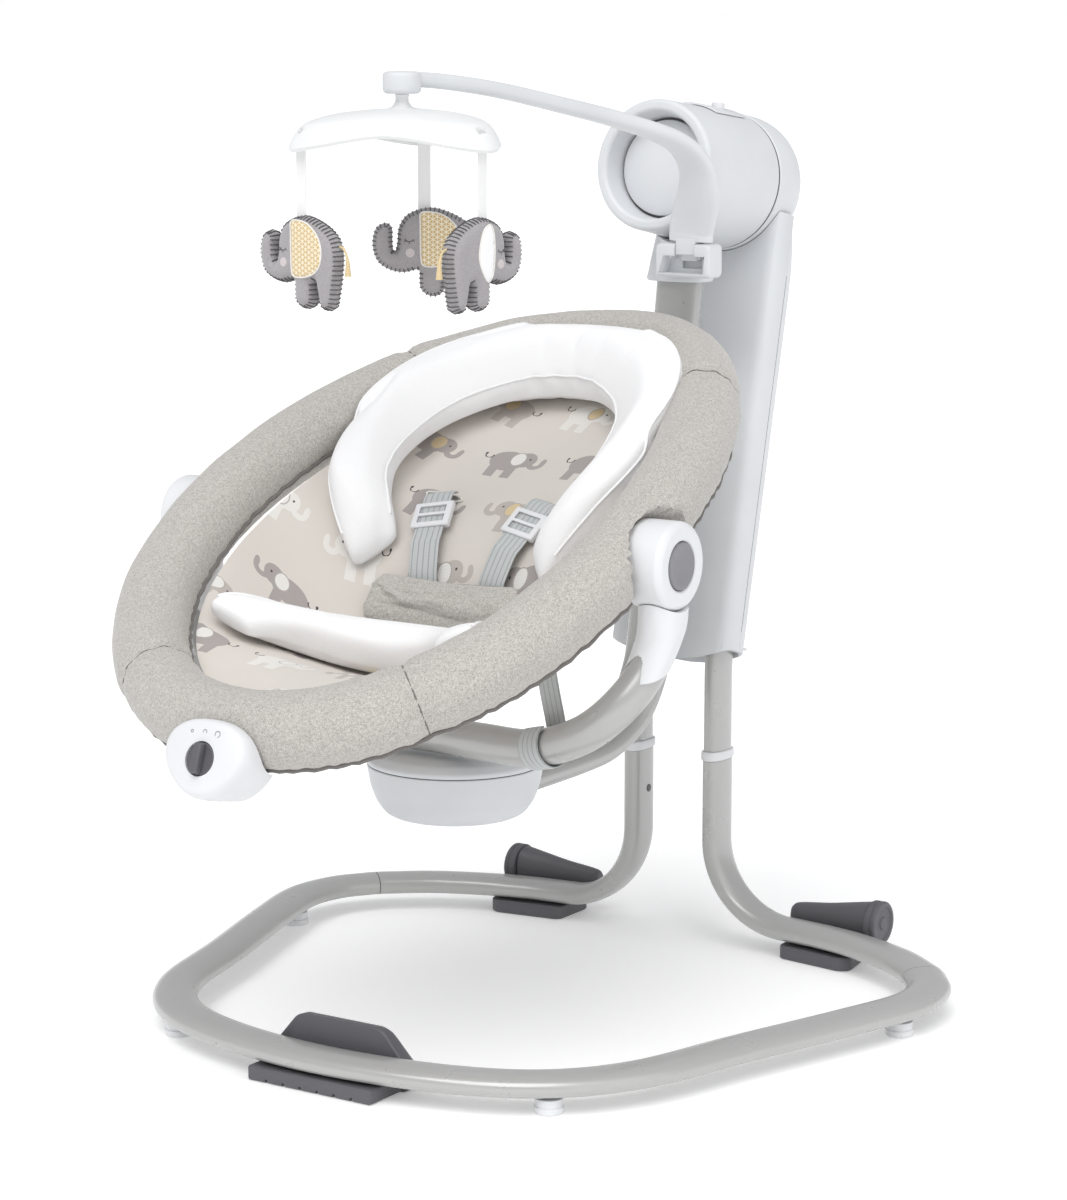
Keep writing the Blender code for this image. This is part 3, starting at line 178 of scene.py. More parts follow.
def loft(rings, closed=False, marks=None):
    """Skin a row of equal rings, with flat caps unless the row closes on itself.

    The marks are each point's place along the cloth, kept in the layer that weaves read.
    """
    bm = bmesh.new()
    loops = [[bm.verts.new(p) for p in ring] for ring in rings]
    pairs = list(zip(loops, loops[1:]))
    if closed:
        pairs.append((loops[-1], loops[0]))
    for low, high in pairs:
        for i in range(len(low)):
            j = (i + 1) % len(low)
            bm.faces.new((low[i], low[j], high[j], high[i]))
    if not closed:
        bm.faces.new(list(reversed(loops[0])))
        bm.faces.new(loops[-1])
    if marks:
        layer = bm.loops.layers.uv.new("cloth")
        place = {v: uv for loop, row in zip(loops, marks) for v, uv in zip(loop, row)}
        for face in bm.faces:
            for corner in face.loops:
                corner[layer].uv = place[corner.vert]
    return bm


def tube(path, section, width_axis, closed=False):
    return loft(sweep_rings(path, section, width_axis, closed), closed)


def corner_arc(start, corner, end, steps):
    """Quadratic curve from start to end that is drawn towards the corner."""
    ts = [k / steps for k in range(steps + 1)]
    return [(1 - t) ** 2 * start + 2 * t * (1 - t) * corner + t ** 2 * end for t in ts]


def rounded(profile, radius, steps=4, on_axis=True):
    """The outline with each corner replaced by a small arc, apart from those on the axis."""
    result = []
    count = len(profile)
    for i, here in enumerate(profile):
        here = Vector(here)
        before, after = Vector(profile[i - 1]), Vector(profile[(i + 1) % count])
        if on_axis and here.x < 1e-6:
            result.append(here)
            continue
        back, ahead = before - here, after - here
        reach = min(radius, 0.45 * back.length, 0.45 * ahead.length)
        a, c = here + back.normalized() * reach, here + ahead.normalized() * reach
        result += corner_arc(a, here, c, steps)
    return result


def turned(profile, origin, axis, steps=72, soft=0.0):
    """Body of revolution; the profile is a closed list of (radius, distance along axis)."""
    if soft:
        profile = rounded(profile, soft)
    axis = Vector(axis).normalized()
    side = axis.orthogonal().normalized()
    other = axis.cross(side)
    bm = bmesh.new()
    columns = []
    for i in range(steps):
        angle = 2 * math.pi * i / steps
        out = side * math.cos(angle) + other * math.sin(angle)
        columns.append([bm.verts.new(Vector(origin) + axis * d + out * r) for r, d in profile])
    for i in range(steps):
        here, there = columns[i], columns[(i + 1) % steps]
        for k in range(len(profile)):
            m = (k + 1) % len(profile)
            if profile[k][0] < 1e-6 and profile[m][0] < 1e-6:
                continue
            corners = [here[k], here[m], there[m], there[k]]
            if profile[k][0] < 1e-6:
                corners = [here[k], here[m], there[m]]
            elif profile[m][0] < 1e-6:
                corners = [here[k], here[m], there[k]]
            bm.faces.new(corners)
    return bm


def disc(radius, low, high, origin, axis, steps=48, edge=0.0006):
    return turned([(0.0, low), (radius, low), (radius, high), (0.0, high)], origin, axis, steps, edge)


def box(low, high, frame_matrix=None, bevel=0.0):
    """A box between two corners, in world axes or in a given frame matrix."""
    bm = bmesh.new()
    bmesh.ops.create_cube(bm, size=1.0)
    low, high = Vector(low), Vector(high)
    for v in bm.verts:
        v.co = Vector([lo + (c + 0.5) * (hi - lo) for lo, hi, c in zip(low, high, v.co)])
    if bevel:
        bmesh.ops.bevel(bm, geom=bm.edges[:], offset=bevel, segments=3, profile=0.5, affect="EDGES")
    if frame_matrix is not None:
        bm.transform(frame_matrix)
    return bm


def around(centre, right, up, radius, angle):
    """Point on a circle, from its centre and two directions in its plane."""
    return centre + right * (radius * math.cos(angle)) + up * (radius * math.sin(angle))


def turns(count):
    return [2 * math.pi * i / count for i in range(count)]


def seam_ring(name, radii, levels, origin, axis, body):
    """A dark square-cut ring that shows as the shadow of a joint."""
    (r, s), (low, high) = radii, levels
    ring = turned([(r, low), (s, low), (s, high), (r, high)], origin, axis, 96)
    piece(name, ring, SEAM_SHADE, body)


def frame_at(origin, x_axis, y_axis, z_axis):
    m = Matrix((x_axis, y_axis, z_axis)).transposed().to_4x4()
    m.translation = Vector(origin)
    return m


def mirrored(point, side):
    return Vector((side * point[0], point[1], point[2]))


X_AXIS, Y_AXIS, Z_AXIS = Vector((1, 0, 0)), Vector((0, 1, 0)), Vector((0, 0, 1))
AXLE = Vector((0.0, math.cos(DRUM_TILT), -math.sin(DRUM_TILT)))
DRUM_UP = Vector((0.0, math.sin(DRUM_TILT), math.cos(DRUM_TILT)))
DRUM_FRAME = frame_at(DRUM_CENTRE, X_AXIS, AXLE, DRUM_UP)
COLUMN_BACK = Vector((0.0, math.cos(COLUMN_LEAN), -math.sin(COLUMN_LEAN)))
COLUMN_UP = Vector((0.0, math.sin(COLUMN_LEAN), math.cos(COLUMN_LEAN)))
COLUMN_FRAME = frame_at(COLUMN_FOOT, X_AXIS, COLUMN_BACK, COLUMN_UP)
SEAT_ALONG = Vector((0.0, math.cos(SEAT_TILT), math.sin(SEAT_TILT)))
SEAT_OUT = Vector((0.0, -math.sin(SEAT_TILT), math.cos(SEAT_TILT)))
SEAT_FRAME = frame_at(SEAT_CENTRE, X_AXIS, SEAT_ALONG, SEAT_OUT)
POD_OUT = Vector((0.0, -math.cos(POD_TILT), math.sin(POD_TILT)))
POD_UP = Vector((0.0, math.sin(POD_TILT), math.cos(POD_TILT)))
POD_FRAME = frame_at(POD_CENTRE, X_AXIS, POD_UP, -POD_OUT)


# ---------------------------------------------------------------- pieces
def plain_object(name, bm):
    bmesh.ops.remove_doubles(bm, verts=bm.verts, dist=0.00001)
    bmesh.ops.recalc_face_normals(bm, faces=bm.faces)
    mesh = bpy.data.meshes.new(name)
    bm.to_mesh(mesh)
    bm.free()
    obj = bpy.data.objects.new(name, mesh)
    bpy.context.scene.collection.objects.link(obj)
    return obj


def baked(obj):
    """Apply every modifier of the object to its mesh."""
    graph = bpy.context.evaluated_depsgraph_get()
    mesh = bpy.data.meshes.new_from_object(obj.evaluated_get(graph))
    obj.modifiers.clear()
    old, obj.data = obj.data, mesh
    mesh.name = obj.name
    bpy.data.meshes.remove(old)
    return obj


def combine(obj, bm, operation="DIFFERENCE"):
    tool = plain_object("tool", bm)
    mod = obj.modifiers.new("carve", "BOOLEAN")
    mod.object, mod.operation, mod.solver = tool, operation, "EXACT"
    baked(obj)
    bpy.data.objects.remove(tool)


def soften(obj, width=0.0008, segments=2, angle=30):
    mod = obj.modifiers.new("edges", "BEVEL")
    mod.width, mod.segments, mod.limit_method = width, segments, "ANGLE"
    mod.angle_limit = math.radians(angle)
    baked(obj)


def subdivided(obj):
    mod = obj.modifiers.new("smooth", "SUBSURF")
    mod.levels = mod.render_levels = 1
    return baked(obj)


def settle(obj, mat, body, stands_for=(), angle=38):
    """Give a finished mesh its material and its body, and hide the imported parts it stands for."""
    obj.data.materials.clear()
    obj.data.materials.append(mat)
    obj.data.shade_smooth()
    obj.data.set_sharp_from_angle(angle=math.radians(angle))
    if body:
        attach(obj, body)
    kind = mat.name.split(".")[0]
    if stands_for:
        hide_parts(*stands_for)
    return obj


def piece(name, bm, mat, body, stands_for=(), angle=38):
    return settle(plain_object(name, bm), mat, body, stands_for, angle)


# ---------------------------------------------------------------- materials
class Nodes:
    """A material with short calls for the node kinds that the recipes below use."""

    def __init__(self, name, colour, roughness, metallic=0.0, **sockets):
        self.mat = bpy.data.materials.new(name)
        self.mat.use_nodes = True
        self.tree = self.mat.node_tree
        self.shader = self.tree.nodes["Principled BSDF"]
        self.shader.inputs["Base Color"].default_value = (*colour, 1.0)
        self.shader.inputs["Roughness"].default_value = roughness
        self.shader.inputs["Metallic"].default_value = metallic
        for key, value in sockets.items():
            self.shader.inputs[key.replace("_", " ")].default_value = value

    def link(self, source, target):
        self.tree.links.new(source, target)

    def give(self, socket, value):
        if hasattr(value, "is_output"):
            self.link(value, socket)
        elif value is not None:
            socket.default_value = value

    def place(self):
        """Coordinates of the mesh itself, in metres."""
        return self.tree.nodes.new("ShaderNodeTexCoord").outputs["Object"]

    def cloth_place(self):
        """Coordinates along the cloth, in metres, from the mesh's cloth layer."""
        node = self.tree.nodes.new("ShaderNodeUVMap")
        node.uv_map = "cloth"
        return node.outputs["UV"]

    def math(self, operation, a, b=None):
        node = self.tree.nodes.new("ShaderNodeMath")
        node.operation = operation
        for socket, value in zip(node.inputs, (a, b)):
            self.give(socket, value)
        return node.outputs[0]

    def add(self, a, b):
        return self.math("ADD", a, b)

    def minus(self, a, b):
        return self.math("SUBTRACT", a, b)

    def times(self, a, b):
        return self.math("MULTIPLY", a, b)

    def over(self, value, limit):
        """1 where the value is above the limit, else 0."""
        return self.math("GREATER_THAN", value, limit)

    def under(self, value, limit):
        return self.math("LESS_THAN", value, limit)

    def vector(self, operation, a, b=None, scale=None):
        node = self.tree.nodes.new("ShaderNodeVectorMath")
        node.operation = operation
        self.give(node.inputs[0], a)
        self.give(node.inputs[1], b)
        if scale is not None:
            self.give(node.inputs["Scale"], scale)
        return node.outputs["Value" if operation in ("LENGTH", "DOT_PRODUCT") else "Vector"]

    def split(self, vector):
        node = self.tree.nodes.new("ShaderNodeSeparateXYZ")
        self.link(vector, node.inputs[0])
        return node.outputs[0], node.outputs[1], node.outputs[2]

    def join(self, x, y, z=0.0):
        node = self.tree.nodes.new("ShaderNodeCombineXYZ")
        for socket, value in zip(node.inputs, (x, y, z)):
            self.give(socket, value)
        return node.outputs[0]

    def noise(self, place, scale, detail=2.0, rough=0.5):
        node = self.tree.nodes.new("ShaderNodeTexNoise")
        self.link(place, node.inputs["Vector"])
        node.inputs["Scale"].default_value = scale
        node.inputs["Detail"].default_value = detail
        node.inputs["Roughness"].default_value = rough
        return node.outputs["Fac"]

    def ramp(self, value, *stops):
        """Colour ramp from (position, colour) stops."""
        node = self.tree.nodes.new("ShaderNodeValToRGB")
        ramp = node.color_ramp
        for i, (place, colour) in enumerate(stops):
            stop = ramp.elements[i] if i < 2 else ramp.elements.new(place)
            stop.position = place
            stop.color = (*colour, 1.0)
        self.link(value, node.inputs[0])
        return node.outputs[0]

    def mix(self, factor, a, b):
        node = self.tree.nodes.new("ShaderNodeMix")
        node.data_type = "RGBA"
        self.give(node.inputs[0], factor)
        for socket, value in ((node.inputs[6], a), (node.inputs[7], b)):
            self.give(socket, (*value, 1.0) if isinstance(value, tuple) else value)
        return node.outputs[2]

    def span(self, value, low, high, to_low, to_high):
        node = self.tree.nodes.new("ShaderNodeMapRange")
        self.link(value, node.inputs[0])
        for i, number in enumerate((low, high, to_low, to_high), 1):
            node.inputs[i].default_value = number
        return node.outputs[0]

    def bump(self, height, distance, strength=1.0, below=None):
        node = self.tree.nodes.new("ShaderNodeBump")
        node.inputs["Strength"].default_value = strength
        node.inputs["Distance"].default_value = distance
        self.link(height, node.inputs["Height"])
        if below is not None:
            self.link(below, node.inputs["Normal"])
        return node.outputs[0]

    def paint(self, colour=None, roughness=None, normal=None):
        for key, value in (("Base Color", colour), ("Roughness", roughness), ("Normal", normal)):
            if value is not None:
                self.link(value, self.shader.inputs[key])
        return self.mat


def painted_tube():
    """Warm silver-grey powder coat: fine flakes, slight orange peel, soft clear coat."""
    m = Nodes("silver_paint", (0.45, 0.45, 0.443), 0.34, 0.25, Coat_Weight=0.3, Coat_Roughness=0.15)
    place = m.place()
    flake = m.noise(place, 1800.0, 1.0)
    drift = m.noise(place, 9.0, 2.0)
    colour = m.ramp(flake, (0.35, (0.438, 0.438, 0.43)), (0.65, (0.462, 0.462, 0.454)))
    colour = m.mix(m.span(drift, 0.3, 0.7, 0.0, 0.25), colour, (0.44, 0.438, 0.428))
    rough = m.span(m.noise(place, 40.0, 2.0), 0.3, 0.7, 0.27, 0.32)
    return m.paint(colour, rough, m.bump(m.noise(place, 1800.0, 1.0), 0.000008, 0.3))


def moulded(name, colour, roughness, grain=0.00003, spread=0.03):
    """Injection-moulded plastic: even colour, a fine spark-eroded grain, faint handling wear."""
    m = Nodes(name, colour, roughness, 0.0, Specular_IOR_Level=0.45)
    place = m.place()
    drift = m.noise(place, 14.0, 3.0)
    low = tuple(c * (1 - spread) for c in colour)
    high = tuple(min(c * (1 + spread), 1.0) for c in colour)
    tint = m.ramp(drift, (0.3, low), (0.7, high))
    worn = m.span(m.noise(place, 120.0, 4.0, 0.65), 0.35, 0.75, roughness - 0.05, roughness + 0.07)
    fine = m.bump(m.noise(place, 1500.0, 1.0), grain, 0.6)
    return m.paint(tint, worn, m.bump(m.noise(place, 70.0, 2.0), 0.00008, 0.3, fine))


def metal(name, colour, roughness):
    m = Nodes(name, colour, roughness, 1.0)
    x, y, z = m.split(m.place())
    streak = m.noise(m.join(m.times(x, 6.0), y, m.times(z, 6.0)), 500.0, 3.0)
    rough = m.span(streak, 0.3, 0.7, roughness - 0.08, roughness + 0.1)
    return m.paint(None, rough, m.bump(streak, 0.00002, 0.4))


def circuit_green():
    m = Nodes("board_green", (0.04, 0.2, 0.1), 0.35)
    place = m.place()
    _, _, z = m.split(place)
    trace = m.math("PINGPONG", m.add(z, m.times(m.noise(place, 60.0), 0.01)), 0.0025)
    line = m.over(trace, 0.0019)
    return m.paint(m.mix(line, (0.035, 0.17, 0.09), (0.08, 0.33, 0.17)))


def heather():
    """Heather grey melange: pale and dark fibres on a tight twill."""
    m = Nodes("heather_fabric", (0.45, 0.43, 0.4), 0.95, Sheen_Weight=0.25, Sheen_Roughness=0.5)
    place = m.place()
    fibre = m.noise(place, 1100.0, 3.0, 0.7)
    clump = m.noise(place, 420.0, 3.0, 0.6)
    mixed = m.add(m.times(fibre, 0.75), m.times(clump, 0.25))
    colour = m.ramp(mixed, (0.38, (0.3, 0.285, 0.265)), (0.64, (0.6, 0.58, 0.545)),
                    (0.5, (0.455, 0.435, 0.405)))
    weave = m.bump(fibre, 0.0003, 0.55)
    return m.paint(colour, None, m.bump(m.noise(place, 45.0, 3.0), 0.0012, 0.25, weave))


def plain_cloth(name, colour, thread=1100.0, spread=0.05, sheen=0.2):
    m = Nodes(name, colour, 0.92, Sheen_Weight=sheen, Sheen_Roughness=0.4)
    place = m.place()
    fibre = m.noise(place, thread, 2.0, 0.6)
    low = tuple(c * (1 - spread) for c in colour)
    high = tuple(min(c * (1 + spread), 1.0) for c in colour)
    tint = m.ramp(fibre, (0.35, low), (0.65, high))
    weave = m.bump(fibre, 0.00018, 0.5)
    return m.paint(tint, None, m.bump(m.noise(place, 60.0, 3.0), 0.001, 0.18, weave))


def webbing():
    """Grey harness tape: lengthwise ribs and close crosswise threads, from the cloth layer."""
    m = Nodes("grey_webbing", (0.42, 0.44, 0.44), 0.85, Sheen_Weight=0.2)
    u, v, _ = m.split(m.cloth_place())
    rib = m.math("PINGPONG", u, 0.0025)
    groove = m.span(rib, 0.0, 0.0007, 0.0, 1.0)
    thread = m.math("PINGPONG", v, 0.0006)
    threads = m.span(thread, 0.0, 0.0006, 0.0, 1.0)
    # colour follows the relief: painted shade in the grooves and a painted highlight on the thread tops
    colour = m.mix(groove, (0.26, 0.275, 0.275), (0.5, 0.52, 0.52))
    colour = m.mix(m.times(threads, 0.25), colour, (0.62, 0.64, 0.64))
    height = m.add(groove, m.times(threads, 0.4))
    return m.paint(colour, None, m.bump(height, 0.0005, 0.7))


def felt():
    """Short grey felt of the toys."""
    m = Nodes("grey_plush", (0.35, 0.335, 0.345), 0.95, Sheen_Weight=0.4, Sheen_Roughness=0.45)
    place = m.place()
    fibre = m.noise(place, 1400.0, 3.0, 0.7)
    colour = m.ramp(fibre, (0.35, (0.29, 0.277, 0.287)), (0.65, (0.42, 0.4, 0.412)))
    return m.paint(colour, None, m.bump(fibre, 0.00035, 0.6))


def star_cloth():
    """Ochre cotton with a lattice of pale triangles, from the cloth layer."""
    m = Nodes("ochre_lattice", (0.62, 0.42, 0.16), 0.9, Sheen_Weight=0.2)
    place = m.cloth_place()
    pale = None
    for degrees in (0, 60, 120):
        a = math.radians(degrees)
        along = m.vector("DOT_PRODUCT", place, (math.cos(a), math.sin(a), 0.0))
        line = m.under(m.math("PINGPONG", along, 0.0017), 0.00032)
        pale = line if pale is None else m.math("MAXIMUM", pale, line)
    colour = m.mix(pale, (0.58, 0.4, 0.155), (0.86, 0.8, 0.66))
    fibre = m.noise(m.place(), 1300.0, 2.0)
    return m.paint(m.mix(m.span(fibre, 0.3, 0.7, 0.0, 0.2), colour, (0.72, 0.58, 0.35)), None,
                   m.bump(fibre, 0.0002, 0.5))


PRINT_CELL = (0.078, 0.066)      # spacing of the printed elephants, across and up
PRINT_BEIGE = (0.655, 0.61, 0.565)


def print_cloth():
    """Beige cotton with plain elephants, each repeat flipped and coloured at random."""
    m = Nodes("print_fabric", PRINT_BEIGE, 0.9, Sheen_Weight=0.15, Sheen_Roughness=0.5)
    u, v, _ = m.split(m.cloth_place())
    row = m.math("FLOOR", m.math("DIVIDE", v, PRINT_CELL[1]))
    shift = m.times(m.math("MODULO", m.math("ABSOLUTE", row), 2.0), 0.5)
    across = m.add(m.math("DIVIDE", u, PRINT_CELL[0]), shift)
    column = m.math("FLOOR", across)
    dice = m.tree.nodes.new("ShaderNodeTexWhiteNoise")
    dice.noise_dimensions = "2D"
    m.link(m.join(column, row), dice.inputs["Vector"])
    pick, spin, hue = m.split(dice.outputs["Color"])
    flip = m.minus(m.times(m.over(pick, 0.5), 2.0), 1.0)
    x = m.times(m.minus(m.minus(across, column), 0.5), PRINT_CELL[0] * 1000)
    y = m.times(m.minus(m.math("FRACT", m.math("DIVIDE", v, PRINT_CELL[1])), 0.5), PRINT_CELL[1] * 1000)
    lean = m.times(m.minus(spin, 0.5), 0.5)
    x_turned = m.minus(x, m.times(y, lean))
    y_turned = m.add(y, m.times(x, lean))
    spot = m.join(m.times(x_turned, flip), y_turned)

    def inside(centre, radii):
        """1 within an ellipse of the elephant, in millimetres from its middle."""
        off = m.vector("SUBTRACT", spot, (centre[0], centre[1], 0.0))
        scaled = m.vector("MULTIPLY", off, (1 / radii[0], 1 / radii[1], 0.0))
        return m.under(m.vector("LENGTH", scaled), 1.0)

    def block(centre, half):
        off = m.vector("SUBTRACT", spot, (centre[0], centre[1], 0.0))
        ox, oy, _ = m.split(m.vector("ABSOLUTE", off))
        return m.times(m.under(ox, half[0]), m.under(oy, half[1]))

    def band(centre, radius, width, low_y, high_y):
        """1 on part of a ring, for the trunk and the tail."""
        off = m.vector("SUBTRACT", spot, (centre[0], centre[1], 0.0))
        away = m.math("ABSOLUTE", m.minus(m.vector("LENGTH", off), radius))
        _, oy, _ = m.split(off)
        near = m.times(m.over(oy, low_y), m.under(oy, high_y))
        return m.times(m.under(away, width), near)

    def any_of(*parts):
        total = parts[0]
        for part in parts[1:]:
            total = m.math("MAXIMUM", total, part)
        return total

    figure = any_of(inside((6.0, 1.0), (16.5, 12.5)), inside((-10.0, 5.0), (10.0, 9.5)),
                    block((-2.0, -13.0), (4.6, 8.0)), block((14.5, -12.5), (4.6, 8.5)),
                    band((-21.5, 2.0), 6.0, 2.6, -9.0, 1.5), inside((-27.5, 4.0), (2.6, 4.5)))
    ear = inside((-2.5, 5.0), (6.2, 7.8))
    ear_edge = inside((-2.5, 5.0), (7.2, 8.8))
    dots = m.under(m.vector("LENGTH", m.vector("SUBTRACT", m.vector(
        "FRACTION", m.vector("SCALE", spot, None, 0.45)), (0.5, 0.5, 0.0))), 0.22)
    eye = inside((-13.5, 6.5), (1.0, 1.2))
    tail = any_of(band((25.5, 5.0), 3.6, 0.55, -3.6, 1.0), inside((29.0, 6.2), (1.1, 1.6)))
    pale_body = m.over(hue, 0.62)
    dark_body = m.under(hue, 0.3)
    body = m.mix(dark_body, (0.47, 0.425, 0.395), (0.36, 0.325, 0.315))
    body = m.mix(pale_body, body, (0.745, 0.725, 0.69))
    ochre = m.over(spin, 0.62)
    ear_colour = m.mix(ochre, (0.76, 0.745, 0.715), (0.66, 0.52, 0.3))
    ear_colour = m.mix(m.times(dots, 0.35), ear_colour, (0.55, 0.52, 0.47))
    colour = m.mix(figure, PRINT_BEIGE, body)
    colour = m.mix(ear_edge, colour, (0.4, 0.37, 0.35))
    colour = m.mix(ear, colour, ear_colour)
    colour = m.mix(m.math("MAXIMUM", eye, tail), colour, (0.035, 0.035, 0.04))
    fibre = m.noise(m.place(), 1200.0, 2.0, 0.6)
    colour = m.mix(m.span(fibre, 0.3, 0.7, 0.0, 0.12), colour, (0.56, 0.53, 0.5))
    weave = m.bump(fibre, 0.00018, 0.5)
    return m.paint(colour, None, m.bump(m.noise(m.place(), 55.0, 3.0), 0.0014, 0.25, weave))


SILVER = painted_tube()
PALE = moulded("pale_plastic", (0.66, 0.675, 0.695), 0.42)
WHITE_PLASTIC = moulded("white_plastic", (0.73, 0.735, 0.75), 0.4)
CANOPY_PLASTIC = moulded("canopy_plastic", (0.8, 0.81, 0.81), 0.45)
DARK = moulded("dark_plastic", (0.105, 0.102, 0.112), 0.48, 0.00006)
GREY_KEY = moulded("grey_key", (0.235, 0.23, 0.245), 0.45)
# near-black plastic for thin pieces sunk in gaps and seams: painted shade of those gaps
SEAM_SHADE = moulded("seam_shadow", (0.1, 0.1, 0.105), 0.7)
STEEL = metal("steel", (0.56, 0.56, 0.57), 0.3)
COPPER = metal("copper", (0.6, 0.3, 0.16), 0.4)
BOARD = circuit_green()
HEATHER = heather()
PIPING = plain_cloth("dark_piping", (0.17, 0.16, 0.15), 1600.0, 0.2)
PRINT = print_cloth()
WHITE_CLOTH = plain_cloth("white_fabric", (0.87, 0.87, 0.875), 1200.0, 0.02, 0.1)
WEBBING = webbing()
FELT = felt()
LATTICE = star_cloth()
RIBBON = plain_cloth("white_ribbon", (0.84, 0.84, 0.84), 2000.0, 0.03)
STITCH = plain_cloth("stitch_thread", (0.105, 0.1, 0.105), 3000.0, 0.15)
PALE_STITCH = plain_cloth("pale_stitch", (0.8, 0.78, 0.74), 3000.0, 0.1)
CHEEK = plain_cloth("cheek_felt", (0.58, 0.52, 0.53), 1800.0, 0.1)
BUTTER = plain_cloth("butter_thread", (0.66, 0.52, 0.3), 1800.0, 0.15)


# ---------------------------------------------------------------- cloth
def swell(caps):
    """Blow up padded bodies together by cloth simulation; no point moves beyond its cap.

    The caps are (object, largest travel) pairs.
    """
    rests = []
    for obj, _ in caps:
        rests.append([v.co.copy() for v in obj.data.vertices])
        cloth = obj.modifiers.new("swell", "CLOTH")
        cloth.settings.quality = 4
        cloth.settings.mass = 0.2
        cloth.settings.tension_stiffness = cloth.settings.compression_stiffness = 12.0
        cloth.settings.shear_stiffness = 4.0
        cloth.settings.bending_stiffness = 0.3
        cloth.settings.use_pressure = True
        cloth.settings.uniform_pressure_force = SWELL_PRESSURE
        cloth.settings.effector_weights.gravity = 0.0
        cloth.collision_settings.use_collision = False
    for step in range(1, SWELL_FRAMES + 1):
        bpy.context.scene.frame_set(step)
    for (obj, cap), rest in zip(caps, rests):
        baked(obj)
        for v, old in zip(obj.data.vertices, rest):
            move = v.co - old
            if move.length > cap:
                v.co = old + move * (cap / move.length)
    bpy.context.scene.frame_set(1)


# ---------------------------------------------------------------- floor ring, legs and feet
def ring_point(xy, side=1):
    return Vector((side * xy[0], xy[1], BASE_TUBE_Z))


def build_base():
    ends = {}
    for side in (-1, 1):
        joint = ring_point(RING_JOINT, side)
        ahead = (ring_point(RING_REAR[0], side) - ring_point(RING_FRONT[-1], side)).normalized()
        ends[side] = [joint + ahead * d for d in (-0.005, -GAP, GAP, 0.005)]
    left = [ring_point(p, -1) for p in RING_FRONT[::-1]]
    right = [ring_point(p) for p in RING_FRONT[1:]]
    path = smooth_path(ends[-1][:1] + left + right + ends[1][:1], 9)
    path = ends[-1][1:2] + path + ends[1][1:2]
    section = oval(*BASE_TUBE, 36, 2.4)
    piece("floor_hoop", tube(path, section, Y_AXIS), SILVER, "stand", ["base_tube_front"])
    for side, word in SIDES:
        floor = smooth_path(ends[side][3:] + [ring_point(p, side) for p in RING_REAR], 9)
        bend = []
        for i in range(25):
            angle = math.radians(90 * i / 24)
            bend.append(Vector((side * (RISER_X + RISER_BEND * (1 - math.sin(angle))), RISER_Y,
                                BASE_TUBE_Z + RISER_BEND * (1 - math.cos(angle)))))
        top = Vector((side * RISER_X, RISER_Y, COLLAR_Z[0] - GAP))
        run = ends[side][2:3] + floor + bend + [top]
        piece("rear_tube_" + word, tube(run, section, Vector((0.4 * side, 0.9, 0.0))), SILVER,
              "stand", ["base_tube_rear_" + word])

        # a dark ring sunk in the gap where the floor hoop meets the rear tube: painted shade of the
        # joint
        joint = ring_point(RING_JOINT, side)
        ahead = (ends[side][3] - ends[side][0]).normalized()
        seam = [joint - ahead * 0.0006, joint + ahead * 0.0006]
        ring = oval(BASE_TUBE[0] - 0.001, BASE_TUBE[1] - 0.001, 36, 2.4)
        piece("tube_joint_" + word, tube(seam, ring, Y_AXIS), SEAM_SHADE, "stand")

        rings = []
        for z, grow in ((COLLAR_Z[0], 0.001), (COLLAR_Z[0] + 0.0006, 0.0024),
                        (COLLAR_Z[0] + 0.0016, 0.003), (COLLAR_Z[1] - 0.0016, 0.003),
                        (COLLAR_Z[1] - 0.0006, 0.0024), (COLLAR_Z[1], 0.0008)):
            rings.append([Vector((side * RISER_X + b, RISER_Y + a, z))
                          for a, b in oval(BASE_TUBE[0] + grow, BASE_TUBE[1] + grow, 40, 2.4)])
        piece("riser_collar_" + word, loft(rings), WHITE_PLASTIC, "stand", ["leg_collar_" + word])
        leg = smooth_path([(side * RISER_X, RISER_Y, COLLAR_Z[1] + GAP),
                           (side * RISER_X, RISER_Y, 0.215), (side * RISER_X, RISER_Y + 0.0005, 0.245),
                           (side * RISER_X, RISER_Y + 0.004, 0.2765),
                           (side * RISER_X, RISER_Y + 0.013, 0.315)], 6)
        piece("upper_leg_" + word, tube(leg, oval(*LEG_TUBE, 36, 2.4), Y_AXIS), SILVER, "stand",
              ["column_leg_" + word])
    # a flat dark disc where the right riser's snap-button hole is: painted shade of the hole
    dot = disc(0.0035, 0.0086, 0.0094, (-RISER_X, RISER_Y + 0.002, 0.128), X_AXIS, 24, 0.0004)
    piece("riser_hole_shade", dot, DARK, "stand")


